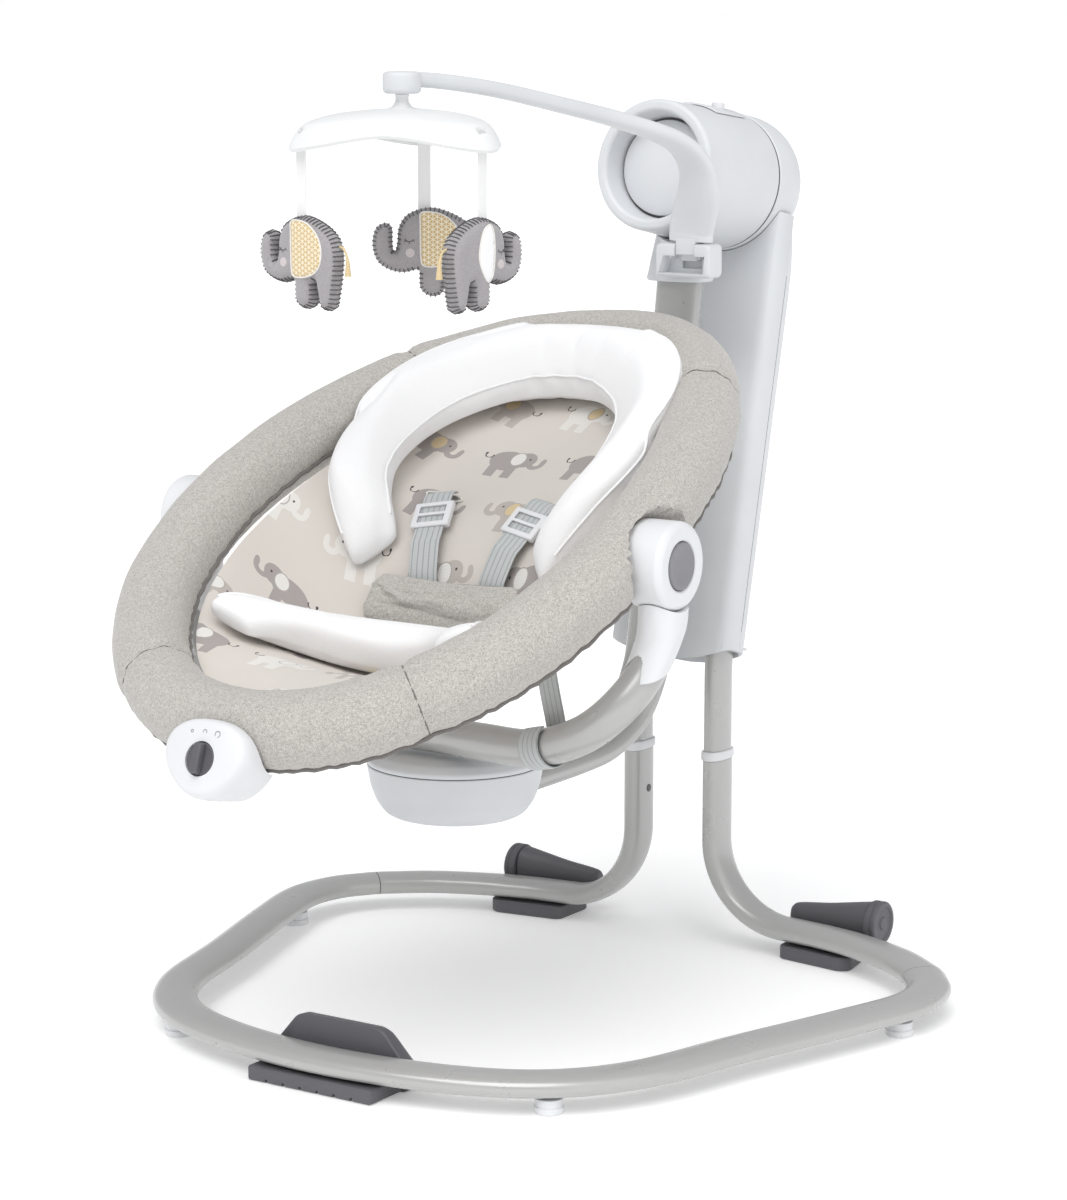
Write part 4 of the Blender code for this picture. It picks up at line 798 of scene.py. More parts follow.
def build_feet():
    for (x, y), place in zip(FOOT_SPOTS, ("front", "side")):
        for side, word in SIDES:
            name = "foot_%s_%s" % (place, word)
            foot = turned([(0.0, 0.0), (FOOT_RADIUS - 0.0004, 0.0), (FOOT_RADIUS, 0.005),
                           (FOOT_RADIUS - 0.0012, 0.0056), (FOOT_RADIUS - 0.0008, 0.012 - GAP),
                           (0.0, 0.012 - GAP)], (side * x, y, 0.0), Z_AXIS, 48, 0.001)
            piece("round_" + name, foot, WHITE_PLASTIC, "stand", [name])

    inner_y = RING_FRONT[0][1] + BASE_TUBE[0] / 2 + 0.0055
    outline = [(-0.064, 0.0), (0.064, 0.0), (0.062, 0.02), (0.042, 0.043), (0.036, 0.046),
               (-0.036, 0.046), (-0.042, 0.043), (-0.062, 0.02)]
    outline = rounded(outline, 0.006, 5, False)
    rings = [[Vector((x * s, inner_y + d, z * t)) for x, z in outline]
             for d, s, t in ((0.0, 0.985, 0.975), (0.0012, 1.0, 1.0), (0.009, 1.0, 0.985),
                             (0.0135, 0.985, 0.93), (0.0175, 0.965, 0.85), (0.02, 0.95, 0.78))]
    block = plain_object("front_pad", loft(rings))
    combine(block, box((-0.058, -0.2705, 0.0), (0.058, inner_y + 0.004, 0.012 - GAP), None, 0.002),
            "UNION")
    for x in (-0.04, -0.024, -0.008, 0.008, 0.024, 0.04):
        combine(block, box((x - 0.0012, -0.2712, -0.001), (x + 0.0012, -0.23, 0.003)))
    soften(block, 0.0006)
    settle(block, DARK, "stand", ["front_stabiliser"])


def build_rear_feet():
    for side, word in SIDES:
        sole = rounded([(0.112, 0.2475), (0.176, 0.2385), (0.184, 0.245), (0.176, 0.294),
                        (0.112, 0.296)], 0.006, 5, False)
        rings = [[Vector((side * (0.146 + (x - 0.146) * g), 0.268 + (y - 0.268) * g, z))
                  for x, y in sole]
                 for z, g in ((0.0, 0.97), (0.001, 1.0), (0.0106, 1.0), (0.012 - GAP, 0.98))]
        web = box((0.116, 0.286, 0.002), (0.16, 0.295, 0.024), None, 0.002)
        for v in web.verts:
            v.co.x *= side
        rows = smooth_path([(0.1, 0.2965, 0.0255, 0.006, 0.009),
                            (0.106, 0.2965, 0.0262, 0.0085, 0.0115),
                            (0.135, 0.2955, 0.028, 0.0098, 0.0135), (0.16, 0.294, 0.03, 0.0125, 0.016),
                            (0.1785, 0.293, 0.0315, 0.015, 0.0178)], 6)
        body = [[Vector((side * r[0], r[1] + a, r[2] + b))
                 for a, b in oval(2 * r[3], 2 * r[4], 36, 2.4)] for r in rows]
        foot = plain_object("wheel_foot_" + word, loft(body))
        combine(foot, loft(rings), "UNION")
        combine(foot, web, "UNION")
        soften(foot, 0.0009)
        settle(foot, DARK, "stand", ["rear_foot_" + word])
        tread = [(0.0, -0.005), (0.006, -0.005), (0.007, -0.0062), (WHEEL_RADIUS - 0.0012, -0.0062),
                 (WHEEL_RADIUS, -0.005), (WHEEL_RADIUS, -0.0012), (WHEEL_RADIUS - 0.0007, -0.0008),
                 (WHEEL_RADIUS - 0.0007, 0.0004), (WHEEL_RADIUS, 0.0008), (WHEEL_RADIUS, 0.0038),
                 (WHEEL_RADIUS - 0.0012, 0.005), (0.015, 0.005), (0.014, 0.0036),
                 (0.006, 0.0036), (0.005, 0.005), (0.0, 0.005)]
        wheel = turned(tread, mirrored(WHEEL_CENTRE, side), (side, 0, 0), 64, 0.0005)
        piece("roll_wheel_" + word, wheel, DARK, "wheel_" + word, ["transport_wheel_" + word])


# ---------------------------------------------------------------- drive column
def column_shell(rear):
    """One half of the column: a shallow channel whose rear top is bevelled towards its back."""
    def outline(half, front, back):
        side = Vector((half - 0.0015, COLUMN_SEAM - GAP))
        corner = Vector((half + 0.0001, front))
        reach = 0.013
        if rear:
            side = Vector((half - 0.002, COLUMN_SEAM + GAP))
            corner = Vector((half - 0.0034, back))
            reach = 0.016
        ahead = (Vector((-corner.x, corner.y)) - corner).normalized() * reach
        start = corner + (side - corner).normalized() * reach
        run = [side] + corner_arc(start, corner, corner + ahead, 8)
        run += [Vector((corner.x * m, corner.y)) for m in (0.5, 0.25)]
        bulge = 0.001 if rear else -0.0007
        run = [Vector((p.x, p.y + bulge * (1 - (p.x / half) ** 2))) for p in run]
        return run + [Vector((0.0, run[-1].y))] + [Vector((-p.x, p.y)) for p in reversed(run)]
    outer = outline(COLUMN_HALF_WIDTH, 0.0, COLUMN_DEPTH)
    inner = outline(COLUMN_HALF_WIDTH - SHELL, SHELL, COLUMN_DEPTH - SHELL)
    # rows of (height, bow of the lower edge, width at the back, depth)
    rows = [(0.0, COLUMN_BOW, 1.0, 1.0), (0.02, 0.011, 1.0, 1.0), (0.04, 0.008, 1.0, 1.0),
            (0.07, 0.003, 1.0, 1.0), (0.1, 0.0, 1.0, 1.0), (0.25, 0.0, 1.0, 1.0)]
    if rear:
        rows += [(0.33, 0.0, 1.0, 1.0), (0.35, 0.0, 0.985, 0.98), (0.37, 0.0, 0.93, 0.92),
                 (0.383, 0.0, 0.85, 0.86), (COLUMN_SPLIT_TOP, 0.0, 0.74, 0.8)]
    else:
        rows.append((COLUMN_SPLIT_TOP, 0.0, 1.0, 1.0))
    rings = []
    for z, bow, wide, deep in rows:
        ring = []
        for p in outer + inner[::-1]:
            back = max(p.y - COLUMN_SEAM, 0.0) / (COLUMN_DEPTH - COLUMN_SEAM)
            narrow = 1 - (1 - wide) * back
            ring.append(COLUMN_FRAME @ Vector((p.x * narrow, COLUMN_SEAM + (p.y - COLUMN_SEAM) * deep,
                                               z + bow * (p.x / COLUMN_HALF_WIDTH) ** 2)))
        rings.append(ring)
    return loft(rings)


def head_arc(shrink):
    """Profile of the drive head's domed back, moved inwards by the given amount."""
    radius, depth = HEAD_RADIUS - shrink, HEAD_DEPTH - shrink
    arc = []
    for i in range(20):
        angle = math.radians(90 * i / 19)
        arc.append((radius * math.cos(angle), 0.026 + (depth - 0.026) * math.sin(angle)))
    arc[-1] = (0.0, depth)
    return arc


def build_column():
    front = HEAD_START
    outer = [(AXLE_HOLE, front), (HEAD_RADIUS - 0.001, front),
             (HEAD_RADIUS, front + 0.001)] + head_arc(0.0)
    inner = [(AXLE_HOLE, front + SHELL), (HEAD_RADIUS - SHELL, front + SHELL)] + head_arc(SHELL)
    capsule = turned(outer + inner[::-1], DRUM_CENTRE, AXLE, 96)
    half = COLUMN_HALF_WIDTH - SHELL / 2
    floors = {"front": (SHELL / 2, COLUMN_SEAM - GAP),
              "rear": (COLUMN_SEAM + GAP, COLUMN_DEPTH - SHELL / 2)}
    for word, (near, far) in floors.items():
        cover = plain_object(word + "_shell", column_shell(word == "rear"))
        combine(cover, box((-half + 0.0035, near, 0.015), (half - 0.0035, far, 0.0174), COLUMN_FRAME),
                "UNION")
        for side, _ in SIDES:
            combine(cover, box((side * RISER_X - 0.0105, 0.004, -0.02),
                               (side * RISER_X + 0.0105, COLUMN_DEPTH - SHELL - GAP, 0.03),
                               COLUMN_FRAME))
        grow = 0.0008 if word == "front" else -SHELL / 2
        zone = turned([(0.0, -0.03), (HEAD_RADIUS + grow, -0.03)] + head_arc(-grow), DRUM_CENTRE,
                      AXLE, 96)
        combine(cover, zone)
        if word == "rear":
            combine(cover, capsule, "UNION")
            combine(cover, box((-0.0105, 0.03, 0.0505), (0.0105, 0.06, 0.0645), COLUMN_FRAME))
            for x, z in SCREW_SPOTS:
                spot = COLUMN_FRAME @ Vector((x, 0.0, z))
                combine(cover, disc(0.0042, 0.036, 0.05, spot, COLUMN_BACK, 24))
        soften(cover, 0.0006, 2, 40)
        settle(cover, PALE, "stand", ["column_%s_cover" % word], 30)
    # a dark strip in each side seam between the column's shells: painted shade of the gap
    for side, word in SIDES:
        line = box((side * 0.0582 - 0.001, COLUMN_SEAM - GAP + 0.00005, 0.03),
                   (side * 0.0582 + 0.0002, COLUMN_SEAM + GAP - 0.00005, 0.34), COLUMN_FRAME)
        piece("shell_seam_" + word, line, SEAM_SHADE, "stand")
    for x, z in SCREW_SPOTS:
        head = turned([(0.0, 0.0385), (0.0011, 0.0385), (0.0011, 0.0402), (0.0036, 0.0396),
                       (0.0036, 0.037), (0.0, 0.037)], COLUMN_FRAME @ Vector((x, 0.0, z)),
                      COLUMN_BACK, 24, 0.0003)
        name = "cover_screw_%d_%s" % (z * 1000, "left" if x > 0 else "right")
        piece(name, head, STEEL, "stand")


# ---------------------------------------------------------------- swing arm
def drum_radius(y):
    mix = (y + DRUM_LENGTH) / DRUM_LENGTH
    return DRUM_RADIUS[0] + (DRUM_RADIUS[1] - DRUM_RADIUS[0]) * mix


def build_drum():
    front = -DRUM_LENGTH
    profile = [(0.0, front + 0.03), (0.042, front + 0.03), (0.043, front + 0.018),
               (0.0455, front + 0.002), (0.0475, front), (0.053, front),
               (DRUM_RADIUS[0] + 0.0004, front + 0.0025), (drum_radius(-0.06), -0.06),
               (DRUM_RADIUS[1], -0.0015), (DRUM_RADIUS[1] - 0.001, -0.0004),
               (DRUM_RADIUS[1] - 0.003, -0.0004), (drum_radius(-0.07) - 0.0045, -0.0765),
               (0.016, -0.077), (0.0145, -0.045), (0.0, -0.045)]
    drum = plain_object("drum_shell", turned(profile, DRUM_CENTRE, AXLE, 128, 0.0016))
    for x in BUTTON_SPOTS:
        combine(drum, disc(0.0062, 0.045, 0.075, DRUM_CENTRE + AXLE * PANEL_Y + X_AXIS * x, DRUM_UP,
                           32))
    combine(drum, disc(0.0066, -0.06, 0.01, DRUM_CENTRE, AXLE, 32))
    settle(drum, PALE, "swing_arm", ["arm_drum"], 32)
    dome = [(0.0, front + 0.0128), (0.008, front + 0.0131), (0.016, front + 0.014),
            (0.024, front + 0.0155), (0.031, front + 0.0174), (0.0375, front + 0.0192),
            (0.04, front + 0.0204), (0.0405, front + 0.0225), (0.0405, front + 0.03 - GAP),
            (0.0, front + 0.03 - GAP)]
    piece("drum_face", turned(dome, DRUM_CENTRE, AXLE, 96), PALE, "swing_arm", ["drum_face_disc"], 50)
    seam_ring("drum_face_gap", (0.0404, 0.0424), (front + 0.0238, front + 0.029), DRUM_CENTRE, AXLE,
              "swing_arm")
    seam_ring("drum_seam", (0.054, 0.0589), (-0.00036, 0.0007), DRUM_CENTRE, AXLE, "swing_arm")


def build_controls():
    rings = []
    edge = [(-0.024, 0.0008), (-0.0234, 0.0014), (-0.0222, 0.0018), (0.0222, 0.0018),
            (0.0234, 0.0014), (0.024, 0.0008)]
    arc = [math.radians(-28 + 56 * i / 24) for i in range(25)]
    for d, thick in edge:
        y = PANEL_Y + d
        base = drum_radius(y) + GAP
        outer = []
        for k, a in enumerate(arc):
            top = base + min(thick, 0.0006 + 0.0012 * min(k, 24 - k))
            outer.append(DRUM_FRAME @ Vector((top * math.sin(a), y, top * math.cos(a))))
        inner = [DRUM_FRAME @ Vector(((base + 0.0002) * math.sin(a), y, (base + 0.0002) * math.cos(a)))
                 for a in reversed(arc)]
        rings.append(outer + inner)
    panel = plain_object("panel_plate", loft(rings))
    for x, word in zip(BUTTON_SPOTS, ("power", "speed")):
        start = DRUM_CENTRE + AXLE * PANEL_Y + X_AXIS * x
        combine(panel, disc(0.0062, 0.045, 0.075, start, DRUM_UP, 40))
        key = turned([(0.0, 0.0505), (0.0057, 0.0505), (0.0057, 0.0615), (0.0048, 0.0622),
                      (0.003, 0.0618), (0.0, 0.0616)], start, DRUM_UP, 40, 0.0003)
        piece(word + "_key", key, WHITE_PLASTIC, word + "_key", [word + "_button"])
    settle(panel, PALE, "swing_arm", ["control_panel"], 30)
    for i in range(4):
        lamp = disc(0.001, drum_radius(PANEL_Y - 0.014) + 0.0015, drum_radius(PANEL_Y - 0.014) + 0.0025,
                    DRUM_CENTRE + AXLE * (PANEL_Y - 0.014), DRUM_UP + X_AXIS * (0.02 + 0.055 * i), 16,
                    0.0002)
        piece("speed_lamp_%d" % (i + 1), lamp, WHITE_PLASTIC, "swing_arm")


def build_arm():
    rows = smooth_path([(0.2625, 0.576, 0.057, 0.033), (0.2627, 0.5782, 0.059, 0.035),
                        (0.2638, 0.585, 0.0566, 0.0348), (0.265, 0.593, 0.0545, 0.0345),
                        (0.2665, 0.602, 0.0515, 0.034), (0.269, 0.614, 0.048, 0.034)], 5)
    rings = [[Vector((a, r[0] + b, r[1])) for a, b in oval(r[2], r[3], 48, 2.8)] for r in rows]
    sleeve = plain_object("arm_neck", loft(rings))
    low, top = 0.587, SOCKET_TOP - 0.001
    neck = loft([[Vector((x, y, z)) for x, z in ((left, low), (right, low), (right, top), (left, top))]
                 for left, right, y in ((-0.02, 0.024, 0.26), (0.023, 0.064, 0.206))])
    combine(sleeve, neck, "UNION")
    combine(sleeve, box((0.021, 0.186, 0.585), (0.074, 0.209, SOCKET_TOP), None, 0.004), "UNION")
    combine(sleeve, disc(drum_radius(-0.055) + 0.001, -DRUM_LENGTH - 0.01, 0.01, DRUM_CENTRE, AXLE, 96))
    blind = sweep_rings([Vector((0.0, 0.2585, 0.546)), Vector((0.0, 0.2658, 0.5945))],
                        oval(ARM_TUBE[0] + 3 * GAP, ARM_TUBE[1] + 3 * GAP, 40), X_AXIS)
    combine(sleeve, loft(blind))
    window = loft([[Vector((0.0475 + a * wide, y, z)) for a, z in
                    ((-0.0225, 0.5885), (0.02, 0.5885), (0.0215, 0.603), (-0.0175, 0.603))]
                   for y, wide in ((0.2, 0.92), (0.18, 1.05))])
    combine(sleeve, window)
    combine(sleeve, box((0.04, 0.18, 0.592), (0.059, 0.2045, 0.64)))
    for x in (0.062, 0.035):
        combine(sleeve, box((x - 0.0006, 0.189, 0.6005), (x + 0.0006, 0.201, 0.604)), "UNION")
    soften(sleeve, 0.0007)
    settle(sleeve, PALE, "swing_arm", ["arm_sleeve"], 32)

    path = smooth_path([(0.0, 0.2655, 0.592), (0.0, 0.26, 0.556), (0.0, 0.2385, 0.413),
                        (0.0, 0.219, 0.283), (0.0, 0.207, 0.243), (0.0, 0.18, 0.211),
                        (0.0, 0.14, 0.1935), (0.0, 0.09, 0.1885), (0.0, -0.03, 0.188)], 9)
    piece("swing_tube", tube(path, oval(*ARM_TUBE, 40), X_AXIS), SILVER, "swing_arm", ["arm_tube"])

    low, high = HUB_Z
    profile = [(0.0, low), (HUB_RADIUS[0] - 0.006, low), (HUB_RADIUS[0], low + 0.003),
               (0.0625, low + 0.012), (0.067, low + 0.024), (HUB_RADIUS[1], high),
               (HUB_RADIUS[1] - 0.003, high), (0.064, low + 0.024), (0.059, low + 0.012),
               (0.054, low + 0.0035), (0.02, low + 0.0035), (0.018, low + 0.018), (0.0, low + 0.018)]
    hub = plain_object("hub_pot", turned(profile, HUB_CENTRE, Z_AXIS, 112, 0.003))
    end = [Vector((0.0, -0.0304, 0.188)), Vector((0.0, 0.02, 0.188))]
    combine(hub, tube(end, oval(ARM_TUBE[0] + 3 * GAP, ARM_TUBE[1] + 3 * GAP, 40), X_AXIS))
    settle(hub, PALE, "swing_arm", ["hub_body"], 34)


# ---------------------------------------------------------------- seat carrier
def carrier_path(steps):
    half = [(0.0, -0.113, 0.249), (0.06, -0.125, 0.251), (0.118, -0.142, 0.256), (0.165, -0.152, 0.272),
            (0.196, -0.15, 0.295), (0.212, -0.133, 0.323), (0.218, -0.12, 0.357)]
    return smooth_path([(-x, y, z) for x, y, z in half[:0:-1]] + half, steps)


def build_carrier():
    low, high = HUB_Z
    lid = [(0.0, low + 0.019), (0.0145, low + 0.019), (0.0145, low + 0.027),
           (0.03, low + 0.027), (0.032, high + 0.0005),
           (HUB_RADIUS[1], high + 0.0005), (HUB_RADIUS[1] + 0.0004, high + 0.004),
           (0.065, high + 0.0095), (0.054, high + 0.0125), (0.0, high + 0.0135)]
    cover = plain_object("swivel_lid", turned(lid, HUB_CENTRE, Z_AXIS, 112, 0.002))
    path = carrier_path(9)
    combine(cover, tube(path, circle(CARRIER_RADIUS + GAP, 32), Y_AXIS))
    settle(cover, PALE, "turntable", ["swivel_plate"], 34)
    seam_ring("swivel_seam", (0.064, HUB_RADIUS[1] - 0.001), (high - 0.0008, high + 0.0004), HUB_CENTRE,
              Z_AXIS, "turntable")
    piece("carrier_tube", tube(path, circle(CARRIER_RADIUS, 40), Y_AXIS), SILVER, "turntable",
          ["seat_carrier_tube"])
    for side, word in SIDES:
        rows = smooth_path([(0.212, -0.133, 0.323, 0.035, 0.035),
                            (0.2165, -0.1255, 0.342, 0.0355, 0.0365),
                            (0.2185, -0.1205, 0.36, 0.035, 0.0385),
                            (0.2182, -0.12, 0.396, 0.0325, 0.042)], 8)
        rings = [[Vector((side * r[0] + a, r[1] + b, r[2] + b * 0.35))
                  for a, b in oval(r[3], r[4], 48, 2.3)] for r in rows]
        sleeve = plain_object("upright_cover_" + word, loft(rings))
        ear = disc(HINGE_RADIUS + 0.001, -0.03, 0.03, HINGE + X_AXIS * side * 0.218, X_AXIS, 96)
        combine(sleeve, ear)
        bore = [p for p in path if p.x * side > 0.15]
        combine(sleeve, tube(bore, circle(CARRIER_RADIUS + GAP, 32), Y_AXIS))
        soften(sleeve, 0.0008, 3)
        settle(sleeve, WHITE_PLASTIC, "turntable", ["carrier_sleeve_" + word], 34)


# ---------------------------------------------------------------- seat
def rim_point(t):
    along = -math.cos(t)
    return Vector((RIM_WIDTH * math.sin(t) * (1 + RIM_EGG * math.cos(t)), RIM_LENGTH * along,
                   RIM_BOW[0] * along ** 2 + RIM_BOW[1] * along ** 3))


def rim_frames(count):
    """(angle, centre, outward, up) along the rim's centre line."""
    rows = []
    for i in range(count):
        t = 2 * math.pi * i / count
        d = 2 * math.pi / count
        ahead, behind = SEAT_FRAME @ rim_point(t + d), SEAT_FRAME @ rim_point(t - d)
        tangent = (ahead - behind).normalized()
        up = (SEAT_OUT - tangent * SEAT_OUT.dot(tangent)).normalized()
        rows.append((t, SEAT_FRAME @ rim_point(t), tangent.cross(up), up))
    return rows


def bowl_depth(along):
    hips = 0.098 * math.exp(-((along + 0.085) / 0.095) ** 2)
    back = 0.03 * math.exp(-((along - 0.11) / 0.12) ** 2)
    return hips + back


def sling(x, along):
    t = math.atan2(x / RIM_WIDTH, -along / RIM_LENGTH)
    edge = rim_point(t)
    reach = max(Vector((edge.x, edge.y)).length - 0.034, 0.01)
    ratio = min(math.hypot(x, along) / reach, 1.0)
    level = edge.z * ratio ** 2 - 0.012
    return level - bowl_depth(along) * (1 - ratio ** 2.6)


def sling_point(x, along, lift=0.0):
    return SEAT_FRAME @ Vector((x, along, sling(x, along) + lift))


RIM_SEAMS = [math.radians(a) for a in (35.5, 128.7, 231.8, 329.5)]
INNER_PIPING, OUTER_PIPING = math.radians(196), math.radians(-44)


def seam_distance(t):
    """Angle from the nearest of the cover's cross seams."""
    return min(abs((t - s + math.pi) % (2 * math.pi) - math.pi) for s in RIM_SEAMS)


def pressed_flat(point):
    """Push a point of the cover inwards where a hinge housing presses on it."""
    off = math.hypot(point.y - HINGE.y, point.z - HINGE.z)
    limit = HINGE_FACES[0] - 0.0012
    blend = min(max((off - HINGE_RADIUS - 0.002) / 0.007, 0.0), 1.0)
    limit += 0.03 * blend ** 1.5
    if abs(point.x) > limit:
        point.x = math.copysign(limit, point.x)
    return point


def cover_radius(t, a):
    """Radius of the stuffed rim cover at a place round the rim and round the tube."""
    seam = math.exp(-(seam_distance(t) / 0.022) ** 2)
    near = math.exp(-(seam_distance(t) / 0.11) ** 2)
    swirl = noise.noise(Vector((3.1 * math.cos(t), 3.1 * math.sin(t), 1.3 * a)))
    fine = noise.noise(Vector((9.0 * math.cos(t), 9.0 * math.sin(t), 2.2 * a)))
    pucker = 0.0008 * near * math.sin(11 * a + 40 * t + 3 * swirl)
    gather = 0.0
    for edge in (INNER_PIPING, OUTER_PIPING):
        off = (a - edge + math.pi) % (2 * math.pi) - math.pi
        gather += math.exp(-(off / 0.45) ** 2)
    folds = 0.0007 * gather * math.sin(95 * t + 5 * fine)
    return PAD_RADIUS - 0.0008 - 0.0026 * seam + 0.0011 * swirl + 0.0006 * fine + pucker + folds


def build_rim():
    outer = [math.radians(-70 + 320 * i / 40) for i in range(41)]
    inner = [math.radians(250 - 320 * i / 8) for i in range(9)]
    inner_radius = 0.0095 + 0.0026
    rings = []
    for t, centre, across, up in rim_frames(RIM_STEPS):
        ring = []
        for a in outer:
            r = cover_radius(t, a)
            ring.append(pressed_flat(around(centre, across, up, r, a)))
        ring += [around(centre, across, up, inner_radius, a) for a in inner]
        rings.append(ring)
    pad = plain_object("rim_cover", loft(rings, True))
    for name, angle, thick in (("inner_piping", INNER_PIPING, 0.0019),
                               ("outer_piping", OUTER_PIPING, 0.0019)):
        path = []
        for t, centre, across, up in rim_frames(RIM_STEPS):
            r = cover_radius(t, angle) + 0.0004
            path.append(pressed_flat(around(centre, across, up, r, angle)))
        piece("rim_" + name, tube(path, circle(thick, 10), SEAT_OUT, True), PIPING, "seat")
    for k, seam in enumerate(RIM_SEAMS):
        row = min(rim_frames(2 * RIM_STEPS),
                  key=lambda r: abs((r[0] - seam + math.pi) % (2 * math.pi) - math.pi))
        t, centre, across, up = row
        path = []
        for i in range(60):
            a = math.radians(-64 + 308 * i / 59)
            r = cover_radius(t, a) + 0.0001
            path.append(around(centre, across, up, r, a))
        piece("cover_seam_%d" % (k + 1), tube(path, circle(0.0007, 8), up.cross(across)), PIPING,
              "seat")
    return pad


def finish_rim(pad):
    settle(pad, HEATHER, "seat", ["rim_pad"], 60)


def build_sling():
    count, steps = 168, 56
    top, bottom, marks = [], [], []
    lengths, last = [0.0] * count, [sling_point(0.0, 0.0)] * count
    for k in range(1, steps + 1):
        ratio = k / steps
        upper, lower, row = [], [], []
        for i in range(count):
            t = 2 * math.pi * i / count
            edge = rim_point(t)
            flat = Vector((edge.x, edge.y))
            reach = flat * ((flat.length - 0.0345) / flat.length) * ratio
            place = sling_point(reach.x, reach.y)
            lengths[i] += (place - last[i]).length
            last[i] = place
            wave = noise.noise(Vector((reach.x * 26, reach.y * 26, 0.3)))
            crease = math.sin(46 * t + 4 * noise.noise(Vector((3 * math.cos(t), 3 * math.sin(t), 2.0))))
            hips = math.exp(-((reach.y + 0.205) / 0.055) ** 2)
            lift = 0.0011 * wave + 0.0009 * crease * ratio ** 5 * (1 - ratio ** 30)
            lift += 0.0016 * hips * math.sin(70 * reach.x / (0.35 + ratio)) * (ratio - 0.4)
            lift *= 1 - ratio ** 40
            upper.append(place + SEAT_OUT * lift)
            lower.append(place + SEAT_OUT * (lift - 0.0046))
            away = flat.normalized() * lengths[i]
            row.append((away.x + 0.41, away.y + 0.37))
        top.append(upper)
        bottom.append(lower)
        marks.append(row)
    cloth = plain_object("print_seat", loft(top + bottom[::-1], False, marks + marks[::-1]))
    settle(cloth, PRINT, "seat", ["seat_sling"], 60)


def cushion_level(x, along):
    """Height of the sling or, near the rim, of the padded cover's inner shoulder."""
    edge = rim_point(math.atan2(x / RIM_WIDTH, -along / RIM_LENGTH))
    off = Vector((edge.x, edge.y)).length - math.hypot(x, along)
    clear = PAD_RADIUS + 0.0015
    low = sling(x, along)
    if off < clear:
        low = max(low, edge.z + math.sqrt(clear ** 2 - off ** 2) - 0.0035)
    return low


def roll(inner, outer, centre, start, stop, lift, thick, count, crest=None, sides=32):
    """A padded crescent on the sling between two elliptic arcs, as tall as its crest allows."""
    rings = []
    for i in range(count):
        s = i / (count - 1)
        angle = math.radians(start + (stop - start) * s)
        direction = Vector((math.cos(angle), math.sin(angle)))
        a = Vector((centre[0] + inner[0] * direction.x, centre[1] + inner[1] * direction.y))
        b = Vector((centre[0] + outer[0] * direction.x, centre[1] + outer[1] * direction.y))
        end = max(math.sin(math.pi * (i + 0.15) / (count - 0.7)), 0.0) ** 0.28
        middle = (a + b) / 2
        inside = cushion_level(a.x, a.y) + thick * 0.62
        ring = []
        for k in range(sides):
            turn = 2 * math.pi * (k + 0.5) / sides
            mix = -math.cos(turn)
            place = middle + (b - a) / 2 * mix * (0.45 + 0.55 * end)
            rise = math.sin(turn)
            low = cushion_level(place.x, place.y) + lift
            tall = thick
            if crest is not None:
                m = (mix + 1) / 2
                peak = inside + (crest - inside) * (3 * m * m - 2 * m ** 3)
                tall = min(max(peak - low, 0.01), thick)
            tall *= end
            height = tall * (0.1 + 0.9 * rise ** 0.55) if rise > 0 else 0.1 * tall * (1 + rise)
            ring.append(SEAT_FRAME @ Vector((place.x, place.y, low + height)))
        rings.append(ring)
    return loft(rings)


def ridge(obj, count, k, skip, sides=32):
    """A line along a roll, through the same vertex of each of its rings."""
    verts = obj.data.vertices
    return [verts[i * sides + k].co + verts[i * sides + k].normal * 0.0003
            for i in range(skip, count - skip)]


def build_inserts():
    """Bodies of the padded inserts before they are swollen."""
    head = plain_object("head_bolster", roll((0.088, 0.104), (0.147, 0.17), (0.0, 0.088), -46, 226,
                                             0.006, 0.056, 120, 0.034))
    hips = plain_object("hip_roll", roll((0.083, 0.059), (0.139, 0.107), (0.0, -0.175), 12, 168,
                                         0.0065, 0.039, 84))
    rings = []
    count = 28
    for i in range(count):
        s = i / (count - 1)
        y = -0.056 + 0.04 * s
        corner = 1 - 0.1 * max(s - 0.7, 0.0) / 0.3 - 0.05 * max(0.15 - s, 0.0) / 0.15
        end = max(math.sin(math.pi * (i + 0.3) / (count - 0.4)), 0.0) ** 0.35
        ring = []
        for k in range(56):
            turn = 2 * math.pi * (k + 0.5) / 56
            c = math.cos(turn)
            x = 0.071 * corner * math.copysign(abs(c) ** 0.7, c)
            rise = math.sin(turn)
            height = 0.0012 * end * (1 + rise)
            if rise > 0:
                height = 0.0165 * end * (0.15 + 0.85 * abs(rise) ** 0.6)
            ring.append(sling_point(x, y, 0.0085 + height))
        rings.append(ring)
    return head, hips, plain_object("crotch_cushion", loft(rings))


def finish_inserts(head, hips, crotch):
    settle(head, WHITE_CLOTH, "seat", ["head_insert"], 70)
    settle(hips, WHITE_CLOTH, "seat", ["hip_insert"], 70)
    settle(crotch, HEATHER, "seat", ["crotch_pad"], 70)
    for name, cushion, count, k, radius in (("bolster_seam", head, 120, 2, 0.001),
                                            ("bolster_edge", head, 120, 14, 0.001),
                                            ("hip_piping", hips, 84, 12, 0.0017)):
        line = tube(ridge(cushion, count, k, 3), circle(radius, 10), SEAT_OUT)
        piece(name, line, WHITE_CLOTH, "seat")


def strip(points, width, thick, across, sides=14):
    """Flat webbing along a path, with its own cloth coordinates in metres."""
    section = oval(width, thick, sides, 5.0)
    rings = sweep_rings(points, section, across)
    marks, gone = [], 0.0
    for i, point in enumerate(points):
        gone += (point - points[i - 1]).length if i else 0.0
        marks.append([(a + 0.5, gone) for a, b in section])
    return loft(rings, False, marks)


